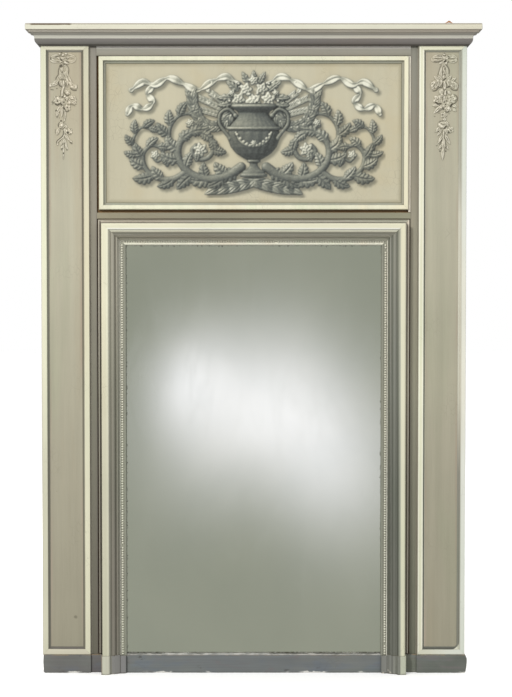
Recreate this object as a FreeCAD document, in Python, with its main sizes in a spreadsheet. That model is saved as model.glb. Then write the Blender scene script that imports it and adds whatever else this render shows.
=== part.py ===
import FreeCAD, Part
import math
import os
import Sketcher

# Trumeau mirror: a tall joined pine frame with two pilasters, a cornice, a
# framed painted panel above and a mirror in a beaded moulding below.
# Frame: +Z up, the front faces -Y, X runs across the width, and the origin is
# the middle of the underside.  Depths are given as the distance in front of
# the back plane (the wall side).

os.makedirs("parts", exist_ok=True)
doc = FreeCAD.newDocument("trumeau")
V = FreeCAD.Vector

# ---------------------------------------------------------------- dimensions
TABLE = [
    # overall
    ("depth_all", 95.0), ("half_body", 744.0), ("horn_top", 2281.0),
    # carcass
    ("carcass_thick", 24.0), ("carcass_inner", 490.0), ("rail_top_low", 2140.0),
    ("rail_top_high", 2260.0), ("rail_mid_low", 1570.0), ("rail_mid_high", 1650.0),
    ("rail_bottom_high", 62.0), ("tenon_back", 8.0), ("tenon_front", 16.0),
    ("tenon_long", 70.0), ("tenon_shoulder", 14.0), ("peg_radius", 4.5),
    # face frame
    ("face_front", 36.0), ("face_inner", 549.5), ("pil_inner", 574.5),
    ("face_top_low", 2168.0), ("face_mid_low", 1600.0), ("face_mid_high", 1621.0),
    # pilasters
    ("pil_ground", 40.0), ("pil_front", 48.0), ("bead_wide", 28.0),
    ("bead_flat", 20.5), ("pil_low", 63.5), ("cornice_low", 2200.5),
    ("pil_top_inner", 2179.0), ("pil_bottom_inner", 91.5),
    # plinths
    ("plinth_front", 52.0), ("stile_plinth_front", 44.0), ("foot_outer", 535.0),
    ("foot_inner", 449.5), ("foot_high", 66.0), ("base_front", 50.0),
    # mirror moulding, widths outward from its inner edge
    ("mould_inner", 470.0), ("mould_inner_top", 1527.0), ("mould_back", 24.0),
    ("mould_wide", 75.5), ("mould_front", 87.0), ("rebate", 20.0),
    ("glass_front", 36.0), ("top_scale", 0.933),
    # glass and what holds it
    ("glass_back", 30.0), ("glass_half", 486.0), ("glass_low", 66.0),
    ("glass_high", 1543.0), ("board_back", 10.0), ("board_half", 488.0),
    ("board_low", 64.0), ("board_high", 1568.0), ("batten_high", 80.0),
    ("batten_one", 380.0), ("batten_two", 1120.0),
    # pearl strip
    ("pearl_wide", 22.5), ("pearl_face", 52.0), ("pearl_radius", 4.4),
    # painted panel
    ("paint_front", 34.0), ("paint_half", 543.0), ("paint_low", 1630.0),
    ("paint_high", 2166.5), ("pbead_wide", 25.0), ("pbead_front", 46.0),
    ("pbead_half", 541.0), ("pbead_low", 1631.5), ("pbead_high", 2165.5),
    # cornice
    ("cornice_over", 47.0), ("cornice_high", 2268.0), ("top_board_high", 2272.0),
    ("top_board_half", 790.0), ("top_board_front", 94.5),
    # carved drops
    ("drop_centre", 665.5), ("drop_thick", 7.0), ("drop_low", 1803.0),
    # hanging plates
    ("plate_centre", 660.0), ("plate_wide", 40.0), ("plate_low", 2120.0),
    ("plate_high", 2220.0), ("plate_thick", 3.0), ("hang_height", 2195.0),
    ("hang_radius", 6.0), ("screw_head", 4.5), ("screw_shank", 2.2),
]

sheet = doc.addObject("Spreadsheet::Sheet", "dims")
for i, (alias, value) in enumerate(TABLE):
    sheet.set("A%d" % (i + 1), alias)
    sheet.set("B%d" % (i + 1), repr(value))
    sheet.setAlias("B%d" % (i + 1), alias)
doc.recompute()


class Dim:
    """A number with the sheet expression that gives it."""

    def __init__(self, text, value):
        self.s, self.v = text, value

    def __add__(self, o):
        o = wrap(o)
        return Dim("(%s + %s)" % (self.s, o.s), self.v + o.v)

    def __radd__(self, o):
        return wrap(o) + self

    def __sub__(self, o):
        o = wrap(o)
        return Dim("(%s - %s)" % (self.s, o.s), self.v - o.v)

    def __rsub__(self, o):
        return wrap(o) - self

    def __mul__(self, o):
        o = wrap(o)
        return Dim("(%s * %s)" % (self.s, o.s), self.v * o.v)

    __rmul__ = __mul__


def wrap(x):
    return x if isinstance(x, Dim) else Dim("%.6g" % x if x >= 0 else "(0 - %.6g)" % -x, float(x))


D = {a: Dim("dims." + a, float(sheet.get(a))) for a, _ in TABLE}
depth = D["depth_all"]
half = depth * 0.5
NODES = []


def node(obj, label):
    obj.Label = label
    NODES.append(obj)
    return obj


def place(obj, base, axis=None, angle=0.0):
    """Placement with each coordinate bound to the sheet."""
    rot = FreeCAD.Rotation(V(*axis), angle) if axis else FreeCAD.Rotation()
    base = [wrap(b) for b in base]
    obj.Placement = FreeCAD.Placement(V(*[b.v for b in base]), rot)
    for c, b in zip("xyz", base):
        obj.setExpression(".Placement.Base." + c, b.s)


def box(name, u0, u1, d0, d1, z0, z1):
    """A board: across from u0 to u1, in depth from d0 to d1, high z0 to z1."""
    u0, u1, d0, d1, z0, z1 = [wrap(q) for q in (u0, u1, d0, d1, z0, z1)]
    b = doc.addObject("Part::Box", name)
    for prop, q in (("Length", u1 - u0), ("Width", d1 - d0), ("Height", z1 - z0)):
        setattr(b, prop, q.v)
        b.setExpression(prop, q.s)
    place(b, (u0, half - d1, z0))
    return b


def rod(name, x, z, d0, d1, radius):
    """A round rod along the depth, from d0 to d1."""
    x, z, d0, d1, radius = [wrap(q) for q in (x, z, d0, d1, radius)]
    c = doc.addObject("Part::Cylinder", name)
    c.Radius, c.Height = radius.v, (d1 - d0).v
    c.setExpression("Radius", radius.s)
    c.setExpression("Height", (d1 - d0).s)
    place(c, (x, half - d0, z), (1, 0, 0), 90)
    return c


def body(name, pts, length, base, axis=None, angle=0.0):
    """A body padded from one closed outline.

    pts: (x, y) corners, or (x, y, bulge) for an arc that ends there; every
    corner is dimensioned from the sketch's origin.
    """
    bd = doc.addObject("PartDesign::Body", name)
    sk = bd.newObject("Sketcher::SketchObject", name + "_outline")
    plane = [f for f in bd.Origin.OriginFeatures if f.Role == "XY_Plane"][0]
    sk.AttachmentSupport = [(plane, "")]
    sk.MapMode = "FlatFace"
    pts = [(wrap(p[0]), wrap(p[1])) + tuple(p[2:]) for p in pts]
    n = len(pts)
    geo, radii = [], []
    for i in range(n):
        a, b = pts[i], pts[(i + 1) % n]
        p, q = V(a[0].v, a[1].v), V(b[0].v, b[1].v)
        bulge = b[2] if len(b) > 2 else 0.0
        if bulge:
            mid = (p + q) * 0.5
            side = V(-(q - p).y, (q - p).x)
            top = mid - side * (bulge * 0.5)
            arc = Part.Arc(p, top, q)
            e = arc.toShape().Curve
            geo.append(Part.Arc(p, top, q))
            radii.append((i, e.Radius, p))
        else:
            geo.append(Part.LineSegment(p, q))
    for g in geo:
        sk.addGeometry(g, False)
    # which end of each edge is its start, since an arc may be stored reversed
    ends = []
    for i in range(n):
        p = V(pts[i][0].v, pts[i][1].v)
        s = sk.getPoint(i, 1)
        ends.append((1, 2) if s.distanceToPoint(p) < 1e-6 else (2, 1))
    con = []
    for i in range(n):
        j = (i + 1) % n
        con.append(Sketcher.Constraint("Coincident", i, ends[i][1], j, ends[j][0]))
    sk.addConstraint(con)
    for i in range(n):
        for kind, q in (("DistanceX", pts[i][0]), ("DistanceY", pts[i][1])):
            if abs(q.v) < 1e-9:
                on = -2 if kind == "DistanceX" else -1
                sk.addConstraint(Sketcher.Constraint("PointOnObject", i, ends[i][0], on))
                continue
            k = sk.addConstraint(Sketcher.Constraint(kind, -1, 1, i, ends[i][0], q.v))
            if "dims." in q.s:
                sk.setExpression("Constraints[%d]" % k, q.s)
    for i, r, _ in radii:
        sk.addConstraint(Sketcher.Constraint("Radius", i, r))
    pad = bd.newObject("PartDesign::Pad", name + "_pad")
    pad.Profile = sk
    length = wrap(length)
    pad.Length = length.v
    pad.setExpression("Length", length.s)
    bd.Tip = pad
    place(bd, base, axis, angle)
    return bd


# The three ways an outline is laid: (x, y) of the sketch stands for
#   up:     (across, y) and the pad rises along Z
#   across: (y, height) and the pad runs along +X
#   deep:   (across, height) and the pad runs towards the front, along -Y
UP = {}
ACROSS = dict(axis=(1, 1, 1), angle=120.0)
DEEP = dict(axis=(1, 0, 0), angle=90.0)


def front_y(d):
    """Sketch coordinate, measured back from the foremost plane."""
    return depth - d


def cut(name, base, tool):
    c = doc.addObject("Part::Cut", name)
    c.Base, c.Tool = base, tool
    return c


def common(name, a, b):
    c = doc.addObject("Part::Common", name)
    c.Base, c.Tool = a, b
    return c


def fuse(name, shapes):
    f = doc.addObject("Part::MultiFuse", name)
    f.Shapes = shapes
    return f


def group(name, shapes):
    g = doc.addObject("Part::Compound", name)
    g.Links = shapes
    return g


def mirror(name, source):
    """The left-hand piece: the right-hand one reflected across the middle."""
    m = doc.addObject("Part::Mirroring", name)
    m.Source = source
    m.Base = V(0, 0, 0)
    m.Normal = V(1, 0, 0)
    return m


# ------------------------------------------------------------------- carcass
ct, ci, hb = D["carcass_thick"], D["carcass_inner"], D["half_body"]
tb, tf, tl, ts = D["tenon_back"], D["tenon_front"], D["tenon_long"], D["tenon_shoulder"]
RAILS = [("top", D["rail_top_low"], D["rail_top_high"]),
         ("mid", D["rail_mid_low"], D["rail_mid_high"]),
         ("bottom", wrap(0), D["rail_bottom_high"])]


def tenon_z(lo, hi):
    return lo + ts, hi - ts


def peg_rods(tag, side):
    """Two draw-bore pegs through each tenon, one set per side."""
    out = []
    for rname, lo, hi in RAILS:
        a, b = tenon_z(lo, hi)
        spots = (0.3, 0.7) if rname != "bottom" else (0.5,)
        for i, f in enumerate(spots):
            out.append(rod("peg_%s_%s_%d%s" % (rname, side, i, tag),
                           (ci + 34) * (1 if side == "right" else -1),
                           a * (1 - f) + b * f, 0, ct, D["peg_radius"]))
    return out


def rail(rname, lo, hi):
    a, b = tenon_z(lo, hi)
    blank = box("rail_%s_blank" % rname, -1 * ci, ci, 0, ct, lo, hi)
    tongue = box("rail_%s_tongue" % rname, -1 * (ci + tl), ci + tl, tb, tf, a, b)
    return fuse("rail_%s_solid" % rname, [blank, tongue])


peg_tools = {s: fuse("peg_tool_" + s, peg_rods("_tool", s)) for s in ("right", "left")}
peg_tool_all = fuse("peg_tool_all", [peg_tools["right"], peg_tools["left"]])
for rname, lo, hi in RAILS:
    node(cut("rail_%s_bored" % rname, rail(rname, lo, hi), peg_tool_all), "carcass_rail_" + rname)

# Recess for the hanging plate and the deeper pocket behind its hole.
pc, pw = D["plate_centre"], D["plate_wide"]
plate_seat = box("plate_seat", pc - pw * 0.5, pc + pw * 0.5, 0, D["plate_thick"],
                 D["plate_low"], D["plate_high"])
hook_pocket = box("hook_pocket", pc - 14, pc + 14, 0, 19,
                  D["hang_height"] - 14, D["hang_height"] + 16)
mortises = [box("mortise_" + r, ci - 1, ci + tl, tb, tf, *tenon_z(lo, hi)) for r, lo, hi in RAILS]


def screw_solid(name, x, z, long):
    """A countersunk wood screw let in from the back face."""
    x, z = wrap(x), wrap(z)
    head = doc.addObject("Part::Cone", name + "_head")
    head.Radius1, head.Radius2, head.Height = D["screw_head"].v, D["screw_shank"].v, 2.6
    head.setExpression("Radius1", "dims.screw_head")
    head.setExpression("Radius2", "dims.screw_shank")
    return head, rod(name + "_shank", x, z, 2.6, long, D["screw_shank"])


def screw(name, x, z, d0, long):
    head, shank = screw_solid(name, x, z, 10)
    d0, long = wrap(d0), wrap(long)
    place(head, (x, half - d0, z), (1, 0, 0), 90)
    place(shank, (x, half - d0 - 2.6, z), (1, 0, 0), 90)
    shank.Height = (long - 2.6).v
    shank.setExpression("Height", (long - 2.6).s)
    return fuse(name, [head, shank])


hang_rows = (18, 42)
screws_right = [screw("hang_screw_right_%d" % i, pc, D["plate_low"] + z, 0, 20)
                for i, z in enumerate(hang_rows)]
screw_tool = fuse("hang_screw_tool", screws_right)
stile_tool = fuse("stile_tool", mortises + [plate_seat, hook_pocket, peg_tools["right"], screw_tool])
stile_blank = box("stile_blank", ci, hb, 0, ct, 0, D["horn_top"])
stile_right = node(cut("stile_right", stile_blank, stile_tool), "carcass_stile_right")
node(mirror("stile_left", stile_right), "carcass_stile_left")
node(group("pegs", peg_rods("", "right") + peg_rods("", "left")), "carcass_pegs")

# Hanging plates, let in flush, each with one round hole to hang by.
plate_blank = box("plate_blank", pc - pw * 0.5, pc + pw * 0.5, 0, D["plate_thick"],
                  D["plate_low"], D["plate_high"])
hang_hole = rod("hang_hole", pc, D["hang_height"], -1, D["plate_thick"] + 1, D["hang_radius"])
plate_right = node(cut("plate_right", plate_blank, fuse("plate_tool", [hang_hole, screw_tool])),
                   "hanging_plate_right")
node(mirror("plate_left", plate_right), "hanging_plate_left")
screws_left = [mirror(s.Name + "_m", s) for s in screws_right]
node(group("hang_screws", screws_right + screws_left), "hanging_screws")

# ---------------------------------------------------------------- face frame
ff, fi, pi_ = D["face_front"], D["face_inner"], D["pil_inner"]
face_right = node(box("face_right", fi, pi_, ct, ff, D["pil_low"], D["rail_top_high"]),
                  "face_stile_right")
node(mirror("face_left", face_right), "face_stile_left")
node(box("face_top", -1 * fi, fi, ct, ff, D["face_top_low"], D["rail_top_high"]), "face_rail_top")
node(box("face_mid", -1 * fi, fi, ct, ff, D["face_mid_low"], D["face_mid_high"]), "face_rail_mid")

# ----------------------------------------------------------------- pilasters
pg, pf, bw = D["pil_ground"], D["pil_front"], D["bead_wide"]
panel_right = node(box("panel_right", pi_, hb, ct, pg, D["pil_low"], D["rail_top_high"]),
                   "pilaster_panel_right")
node(mirror("panel_left", panel_right), "pilaster_panel_left")


def bead_profile(to_uv):
    """Flat band with a small round on its outer edge and a hollow that
    falls to the panel on its inner edge; w runs inward from the outer edge."""
    w, g, f = D["bead_flat"], pg, pf
    p = [(wrap(0), g), (wrap(0), f - 2), (wrap(2), f, -0.41), (w - 1.5, f),
         (w, f - 1.5, -0.41), (w, f - 3), (bw - 0.6, g + 0.8, 0.3), (bw, g)]
    out = []
    for q in p:
        out.append(tuple(to_uv(q[0], q[1])) + tuple(q[2:]))
    return out


def flip(pts):
    """The same outline with its arcs bulging the other way."""
    return [p[:2] + tuple(-b for b in p[2:]) for p in pts]


pz0, pz1 = D["pil_low"], D["cornice_low"]
pti, pbi = D["pil_top_inner"], D["pil_bottom_inner"]
inner_r, outer_r = pi_ + bw, hb - bw
# upright mouldings: the outline lies across and the pad rises
prof = bead_profile(lambda w, d: (hb - w, front_y(d)))
outer_bar = body("pil_outer_bar", prof, pz1 - pz0, (0, -1 * half, pz0))
prof = flip(bead_profile(lambda w, d: (pi_ + w, front_y(d))))
inner_bar = body("pil_inner_bar", prof, pz1 - pz0, (0, -1 * half, pz0))
# level mouldings: the outline is (depth, height) and the pad runs across
prof = flip(bead_profile(lambda w, d: (front_y(d), pti + bw - w)))
top_bar = body("pil_top_bar", prof, hb - pi_, (pi_, -1 * half, 0), **ACROSS)
prof = bead_profile(lambda w, d: (front_y(d), pz0 + w))
bottom_bar = body("pil_bottom_bar", prof, hb - pi_, (pi_, -1 * half, 0), **ACROSS)

cz = pz1 - pti        # what shows of the upper moulding, under the cornice


def mitre(name, pts):
    return body(name, pts, depth, (0, half, 0), **DEEP)


m_outer = mitre("pil_outer_mitre", [(hb, pz0), (hb, pz1), (outer_r + cz, pz1), (outer_r, pti), (outer_r, pbi)])
m_inner = mitre("pil_inner_mitre", [(pi_, pz0), (pi_, pz1), (inner_r - cz, pz1), (inner_r, pti), (inner_r, pbi)])
m_top = mitre("pil_top_mitre", [(inner_r - cz, pz1), (outer_r + cz, pz1), (outer_r, pti), (inner_r, pti)])
m_bottom = mitre("pil_bottom_mitre", [(pi_, pz0), (hb, pz0), (outer_r, pbi), (inner_r, pbi)])
for what, bar, tool in (("outer", outer_bar, m_outer), ("inner", inner_bar, m_inner),
                        ("top", top_bar, m_top), ("bottom", bottom_bar, m_bottom)):
    r = node(common("bead_%s_right" % what, bar, tool), "pilaster_bead_%s_right" % what)
    node(mirror("bead_%s_left" % what, r), "pilaster_bead_%s_left" % what)

# Plain blanks of the carved drops, hanging at the head of each pilaster.
dc = D["drop_centre"]
half_widths = [(2178, 24), (2168, 46), (2150, 47), (2138, 26), (2112, 26), (2096, 46),
               (2074, 47), (2060, 34), (2040, 40), (2000, 42), (1978, 34), (1956, 24),
               (1925, 25), (1900, 24), (1872, 26), (1845, 24), (1820, 13)]
outline = [(dc + w, z) for z, w in half_widths]
outline.append((dc, D["drop_low"]))
outline += [(dc - w, z) for z, w in reversed(half_widths)]
drop = body("drop_right_blank", outline, D["drop_thick"], (0, half - pg, 0), **DEEP)
drop_right = node(drop, "floral_drop_right")
node(mirror("drop_left", drop_right), "floral_drop_left")

# ------------------------------------------------------------ plinths, foot
# The right plinth swells a little past the pilaster; the left one is worn in.
plf, plz = D["plinth_front"], D["pil_low"]
node(body("plinth_r", [(pi_, 0), (hb - 1, 0), (hb + 3, 3.5, 0.3), (hb + 6.5, 22), (hb + 8, 44),
                       (hb + 5.5, 57, 0.1), (hb + 2, plz), (pi_, plz)],
          plf - ct, (0, half - ct, 0), **DEEP), "plinth_right")
node(body("plinth_l", [(-1 * pi_, 0), (-1 * pi_, plz), (-1 * hb + 2.5, plz), (-1 * hb + 1.5, 38),
                       (-1 * hb + 3, 7), (-1 * hb + 10, 0, 0.35)],
          plf - ct, (0, half - ct, 0), **DEEP), "plinth_left")
fo, fn, fh = D["foot_outer"], D["foot_inner"], D["foot_high"]
sp_right = node(box("stile_plinth_r", fo, pi_, ct, D["stile_plinth_front"], 0, plz),
                "stile_plinth_right")
node(mirror("stile_plinth_l", sp_right), "stile_plinth_left")

mi, mt, mb, mw, mf, rb = (D["mould_inner"], D["mould_inner_top"], D["mould_back"],
                          D["mould_wide"], D["mould_front"], D["rebate"])
gf = D["glass_front"]
foot_pts = [(fn, mb), (fn, wrap(60)), (fn + 2, wrap(62), -0.4), (mi - 2, wrap(64)),
            (mi - 0.5, wrap(62)), (mi + 1, wrap(64)), (mi + 9, wrap(69)),
            (mi + 19, wrap(74)), (mi + 30, wrap(76.5)), (mi + 36, mf - 3), (mi + 41, mf, -0.25),
            (fo - 4.5, mf), (fo, mf - 5, -0.41), (fo, mb)]
foot_blank = body("foot_r", [(p[0], front_y(p[1])) + tuple(-b for b in p[2:]) for p in foot_pts],
                  fh, (0, -1 * half, 0))
foot_notch = box("foot_notch", fn - 2, mi, mb - 1, D["mould_front"], D["rail_bottom_high"], fh + 2)
foot_right = node(cut("foot_notched", foot_blank, foot_notch), "frame_foot_right")
node(mirror("foot_l", foot_right), "frame_foot_left")
node(box("base_board", -1 * fn, fn, ct, D["base_front"], 0, D["rail_bottom_high"]), "base_rail")

# --------------------------------------------------------- mirror moulding
# One profile, as (distance outward from the inner edge, depth): rebate for
# the glass at the back, then cove, fillet, hollow, torus, a flat ogee up to
# the broad band, a deep quirk and a thin fillet outside.
MOULD = [(rb, mb), (mw, mb), (mw, wrap(38.5)), (mw - 1.5, wrap(40), 0.41), (mw - 5, wrap(40)),
         (mw - 7, wrap(37)), (wrap(63), wrap(36.5)), (wrap(61), mf - 7), (wrap(55), mf, 0.40),
         (wrap(41), mf), (wrap(36), mf - 3, 0.25), (wrap(30), wrap(76.5), -0.25),
         (wrap(28.2), wrap(75.2)), (wrap(15.6), wrap(71.5), 0.5), (wrap(15), wrap(68)),
         (wrap(10.4), wrap(65), -0.30), (wrap(9.8), wrap(66.5)), (wrap(5.8), wrap(66.5)),
         (wrap(2), wrap(58.5), -0.38), (wrap(0), wrap(57.5)), (wrap(0), gf), (rb, gf)]


def laid(to_uv, sign):
    out = []
    for q in MOULD:
        out.append(tuple(to_uv(q[0], q[1])) + tuple(sign * b for b in q[2:]))
    return out


top_k = D["top_scale"]
mz = fh          # the upright mouldings stand on the feet
corner = mi + mw
top_z = mt + mw * top_k
bar = body("mould_side_bar", laid(lambda w, d: (mi + w, front_y(d)), -1),
           top_z - mz, (0, -1 * half, mz))
trap = mitre("mould_side_mitre", [(mi, mz), (corner, mz), (corner, top_z), (mi, mt)])
mould_right = node(common("mould_right", bar, trap), "mirror_moulding_right")
node(mirror("mould_left", mould_right), "mirror_moulding_left")
bar = body("mould_top_bar", laid(lambda w, d: (front_y(d), mt + w * top_k), 1),
           corner * 2, (-1 * corner, -1 * half, 0), **ACROSS)
trap = mitre("mould_top_mitre", [(-1 * corner + 2000, top_z), (corner + 2000, top_z),
                                 (mi + 2000, mt), (-1 * mi + 2000, mt)])
place(trap, (-2000, half, 0), (1, 0, 0), 90)
node(common("mould_top", bar, trap), "mirror_moulding_top")

# ------------------------------------------------------------- pearl strips
pw_, pface, pr = D["pearl_wide"], D["pearl_face"], D["pearl_radius"]
PEARL = [(wrap(0), gf), (wrap(0), pface), (wrap(3), pface), (wrap(3.6), pface - 2),
         (8.7 + pr, pface - 2, 0.9), (wrap(15.2), pface - 2), (wrap(15.8), pface),
         (wrap(20.5), pface), (pw_, pface - 2, 0.35), (pw_, gf)]


def laid_pearl(to_uv, sign):
    pts = []
    first = True
    for q in PEARL:
        if len(q) > 2 and q[2] == 0.9:
            # the half-round bead starts just before its own end point
            s = to_uv(8.7 - pr, pface - 2)
            pts.append(tuple(s))
        pts.append(tuple(to_uv(q[0], q[1])) + tuple(sign * b for b in q[2:]))
    return pts


pin = mi - pw_
ptop = mt - pw_ * top_k
base_z = D["rail_bottom_high"]
bar = body("pearl_side_bar", laid_pearl(lambda w, d: (mi - w, front_y(d)), -1),
           mt - base_z, (0, -1 * half, base_z))
trap = mitre("pearl_side_mitre", [(pin, base_z), (mi, base_z), (mi, mt), (pin, ptop)])
pearl_right = node(common("pearl_right", bar, trap), "pearl_strip_right")
node(mirror("pearl_left", pearl_right), "pearl_strip_left")
bar = body("pearl_top_bar", laid_pearl(lambda w, d: (front_y(d), mt - w * top_k), 1),
           mi * 2, (-1 * mi, -1 * half, 0), **ACROSS)
trap = mitre("pearl_top_mitre", [(-1 * mi + 2000, mt), (mi + 2000, mt),
                                 (pin + 2000, ptop), (-1 * pin + 2000, ptop)])
place(trap, (-2000, half, 0), (1, 0, 0), 90)
node(common("pearl_top", bar, trap), "pearl_strip_top")
node(box("sill", -1 * pin, pin, 38, 48, base_z, base_z + 7), "sill_fillet")

# --------------------------------------------------- glass and its backing
gb, gh = D["glass_back"], D["glass_half"]
node(box("glass", -1 * gh, gh, gb, gf, D["glass_low"], D["glass_high"]), "mirror_plate")
node(group("setting", [box("setting_%d" % i, x, x + 60, gb, gf, base_z, D["glass_low"])
                       for i, x in enumerate((-310, 250))]), "setting_blocks")
keep = [box("keep_left", -1 * gh, -1 * gh + 16, ct, gb, 90, 1500),
        box("keep_right", gh - 16, gh, ct, gb, 90, 1500),
        box("keep_top", -1 * gh + 30, gh - 30, ct, gb, D["glass_high"] - 18, D["glass_high"] - 2),
        box("keep_low", -1 * gh + 30, gh - 30, ct, gb, D["glass_low"] + 2, D["glass_low"] + 14)]
node(group("keepers", keep), "glass_keepers")
bh, bb = D["board_half"], D["board_back"]
spots = [("left", -1 * bh, wrap(-163)), ("middle", wrap(-162), wrap(162)), ("right", wrap(163), bh)]
batten_z = [("lower", D["batten_one"]), ("upper", D["batten_two"])]
xs = [-460, -325, -190, -135, 0, 135, 190, 325, 460]
all_screws, by_batten = [], {}
for bname, z in batten_z:
    row = [screw("bs_%s_%d" % (bname, i), x, z + (26 if i % 2 else 54), 0, 21)
           for i, x in enumerate(xs)]
    by_batten[bname] = fuse("bs_tool_" + bname, row)
    all_screws += row
board_tool = fuse("board_tool", [by_batten["lower"], by_batten["upper"]])
for bname, x0, x1 in spots:
    node(cut("board_" + bname, box("board_blank_" + bname, x0, x1, bb, ct,
                                   D["board_low"], D["board_high"]), board_tool),
         "backboard_" + bname)
for bname, z in batten_z:
    node(cut("batten_" + bname, box("batten_blank_" + bname, -1 * bh, bh, 0, bb, z,
                                    z + D["batten_high"]), by_batten[bname]),
         "back_batten_" + bname)
node(group("batten_screw_set", all_screws), "batten_screws")

# ------------------------------------------------------------ painted panel
ph = D["paint_half"]
node(box("panel_board", -1 * ph, ph, ct, D["paint_front"], D["paint_low"], D["paint_high"]),
     "painted_panel")
node(group("panel_batten_set", [box("pb_%d" % i, x, x + 70, 6, ct, 1652, 2138)
                                for i, x in enumerate((-315, 245))]), "panel_battens")
pq, ph2, pl2, pu2 = D["pbead_wide"], D["pbead_half"], D["pbead_low"], D["pbead_high"]
pbf, ppf = D["pbead_front"], D["paint_front"]
PBEAD = [(wrap(0), ppf), (wrap(0), pbf - 3), (wrap(3), pbf, -0.38), (wrap(13), pbf),
         (wrap(15.5), pbf - 2.5, -0.41), (wrap(15.5), pbf - 5), (wrap(23), ppf + 1.5, 0.36),
         (pq, ppf + 1.2), (pq, ppf)]


def laid_pbead(to_uv, sign):
    return [tuple(to_uv(q[0], q[1])) + tuple(sign * b for b in q[2:]) for q in PBEAD]


bar = body("pbead_side_bar", laid_pbead(lambda w, d: (ph2 - w, front_y(d)), 1),
           pu2 - pl2, (0, -1 * half, pl2))
trap = mitre("pbead_side_mitre", [(ph2, pl2), (ph2, pu2), (ph2 - pq, pu2 - pq), (ph2 - pq, pl2 + pq)])
pb_right = node(common("pbead_right", bar, trap), "painting_bead_right")
node(mirror("pbead_left", pb_right), "painting_bead_left")
for nm, z0, step, sign in (("bottom", pl2, 1, 1), ("top", pu2, -1, -1)):
    bar = body("pbead_%s_bar" % nm, laid_pbead(lambda w, d: (front_y(d), z0 + w * step), sign),
               ph2 * 2, (-1 * ph2, -1 * half, 0), **ACROSS)
    trap = mitre("pbead_%s_mitre" % nm, [(-1 * ph2 + 2000, z0), (ph2 + 2000, z0),
                                         (ph2 - pq + 2000, z0 + pq * step),
                                         (-1 * (ph2 - pq) + 2000, z0 + pq * step)])
    place(trap, (-2000, half, 0), (1, 0, 0), 90)
    node(common("pbead_" + nm, bar, trap), "painting_bead_" + nm)

# ------------------------------------------------------------------ cornice
co, cl, ch = D["cornice_over"], D["cornice_low"], D["cornice_high"]


def crown(back):
    """Cornice section, as (overhang, height): a fillet, a cyma, a fillet,
    a broad fascia, and a hollow back."""
    return [(back, cl), (wrap(6.5), cl), (wrap(6.5), cl + 2.5), (wrap(18.5), cl + 22.5, 0.30),
            (wrap(30), cl + 42.5, -0.30), (wrap(37), cl + 44), (wrap(37), cl + 48.5),
            (co - 5, cl + 50), (co - 1.2, cl + 50.5), (co, cl + 51.7, 0.35), (co, ch - 0.8),
            (co - 0.8, ch), (wrap(26), ch), (wrap(26), cl + 55.5), (wrap(2), cl + 15.5),
            (back, cl + 15.5)]


# front: outline is (y, height); y runs from the foremost plane backwards
pts = [(depth - (pf + q[0]), q[1]) + tuple(-b for b in q[2:]) for q in crown(pg - pf)]
bar = body("cornice_front_bar", pts, (hb + co) * 2, (-1 * (hb + co), -1 * half, 0), **ACROSS)
plan = body("cornice_front_mitre",
            [(wrap(0), wrap(0)), ((hb + co) * 2, wrap(0)),
             (hb * 2 + co - (pf - pg), depth - pg), (co + (pf - pg), depth - pg)],
            100, (-1 * (hb + co), -1 * half, cl - 10))
node(common("cornice_front_piece", bar, plan), "cornice_front")
# return: outline is (across, height), padded along the depth
pts = [(hb + q[0], q[1]) + tuple(q[2:]) for q in crown(wrap(0))]
bar = body("cornice_return_bar", pts, depth, (0, half, 0), **DEEP)
plan = body("cornice_return_mitre",
            [(hb, depth), (hb, depth - pf), (hb + co, depth - pf - co), (hb + co, depth)],
            100, (0, -1 * half, cl - 10))
ret = node(common("cornice_return_piece", bar, plan), "cornice_return_right")
node(mirror("cornice_return_l", ret), "cornice_return_left")
node(box("cornice_lid", -1 * D["top_board_half"], D["top_board_half"], ct, D["top_board_front"],
         ch, D["top_board_high"]), "cornice_top_board")
# glue blocks in the hollow behind the cornice
blocks = []
for i, x in enumerate((-650, -430, -215, 0, 215, 430, 650)):
    pts = [(depth - pg, cl + 15.5), (depth - pf - 2, cl + 15.5),
           (depth - pf - 26, cl + 55.5), (depth - pf - 26, ch), (depth - pg, ch)]
    blocks.append(body("block_%d" % i, pts, 60, (x - 30, -1 * half, 0), **ACROSS))
node(group("glue_blocks", blocks), "cornice_glue_blocks")

doc.recompute()

# ------------------------------------------------------------------- checks
bad = []
for o in doc.Objects:
    if "Invalid" in o.State or "Error" in o.State:
        bad.append("%s (%s): %s" % (o.Name, o.Label, o.State))
for o in NODES:
    s = o.Shape
    if s.isNull() or not s.isValid() or not s.Solids:
        bad.append("%s: shape null, invalid or without a solid" % o.Label)
if len({o.Label for o in NODES}) != len(NODES):
    bad.append("two nodes share a label")
if bad:
    raise RuntimeError("; ".join(bad))

total = 0.0
for o in NODES:
    s = o.Shape
    b = s.BoundBox
    total += s.Volume
    print("%-28s solids %2d  x %8.1f %8.1f  y %7.1f %7.1f  z %7.1f %7.1f  cm3 %8.1f"
          % (o.Label, len(s.Solids), b.XMin, b.XMax, b.YMin, b.YMax, b.ZMin, b.ZMax, s.Volume / 1000))
    s.exportStep("parts/%s.step" % o.Label)
print("%d nodes, %.1f litres" % (len(NODES), total / 1e6))
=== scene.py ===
import math

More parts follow.
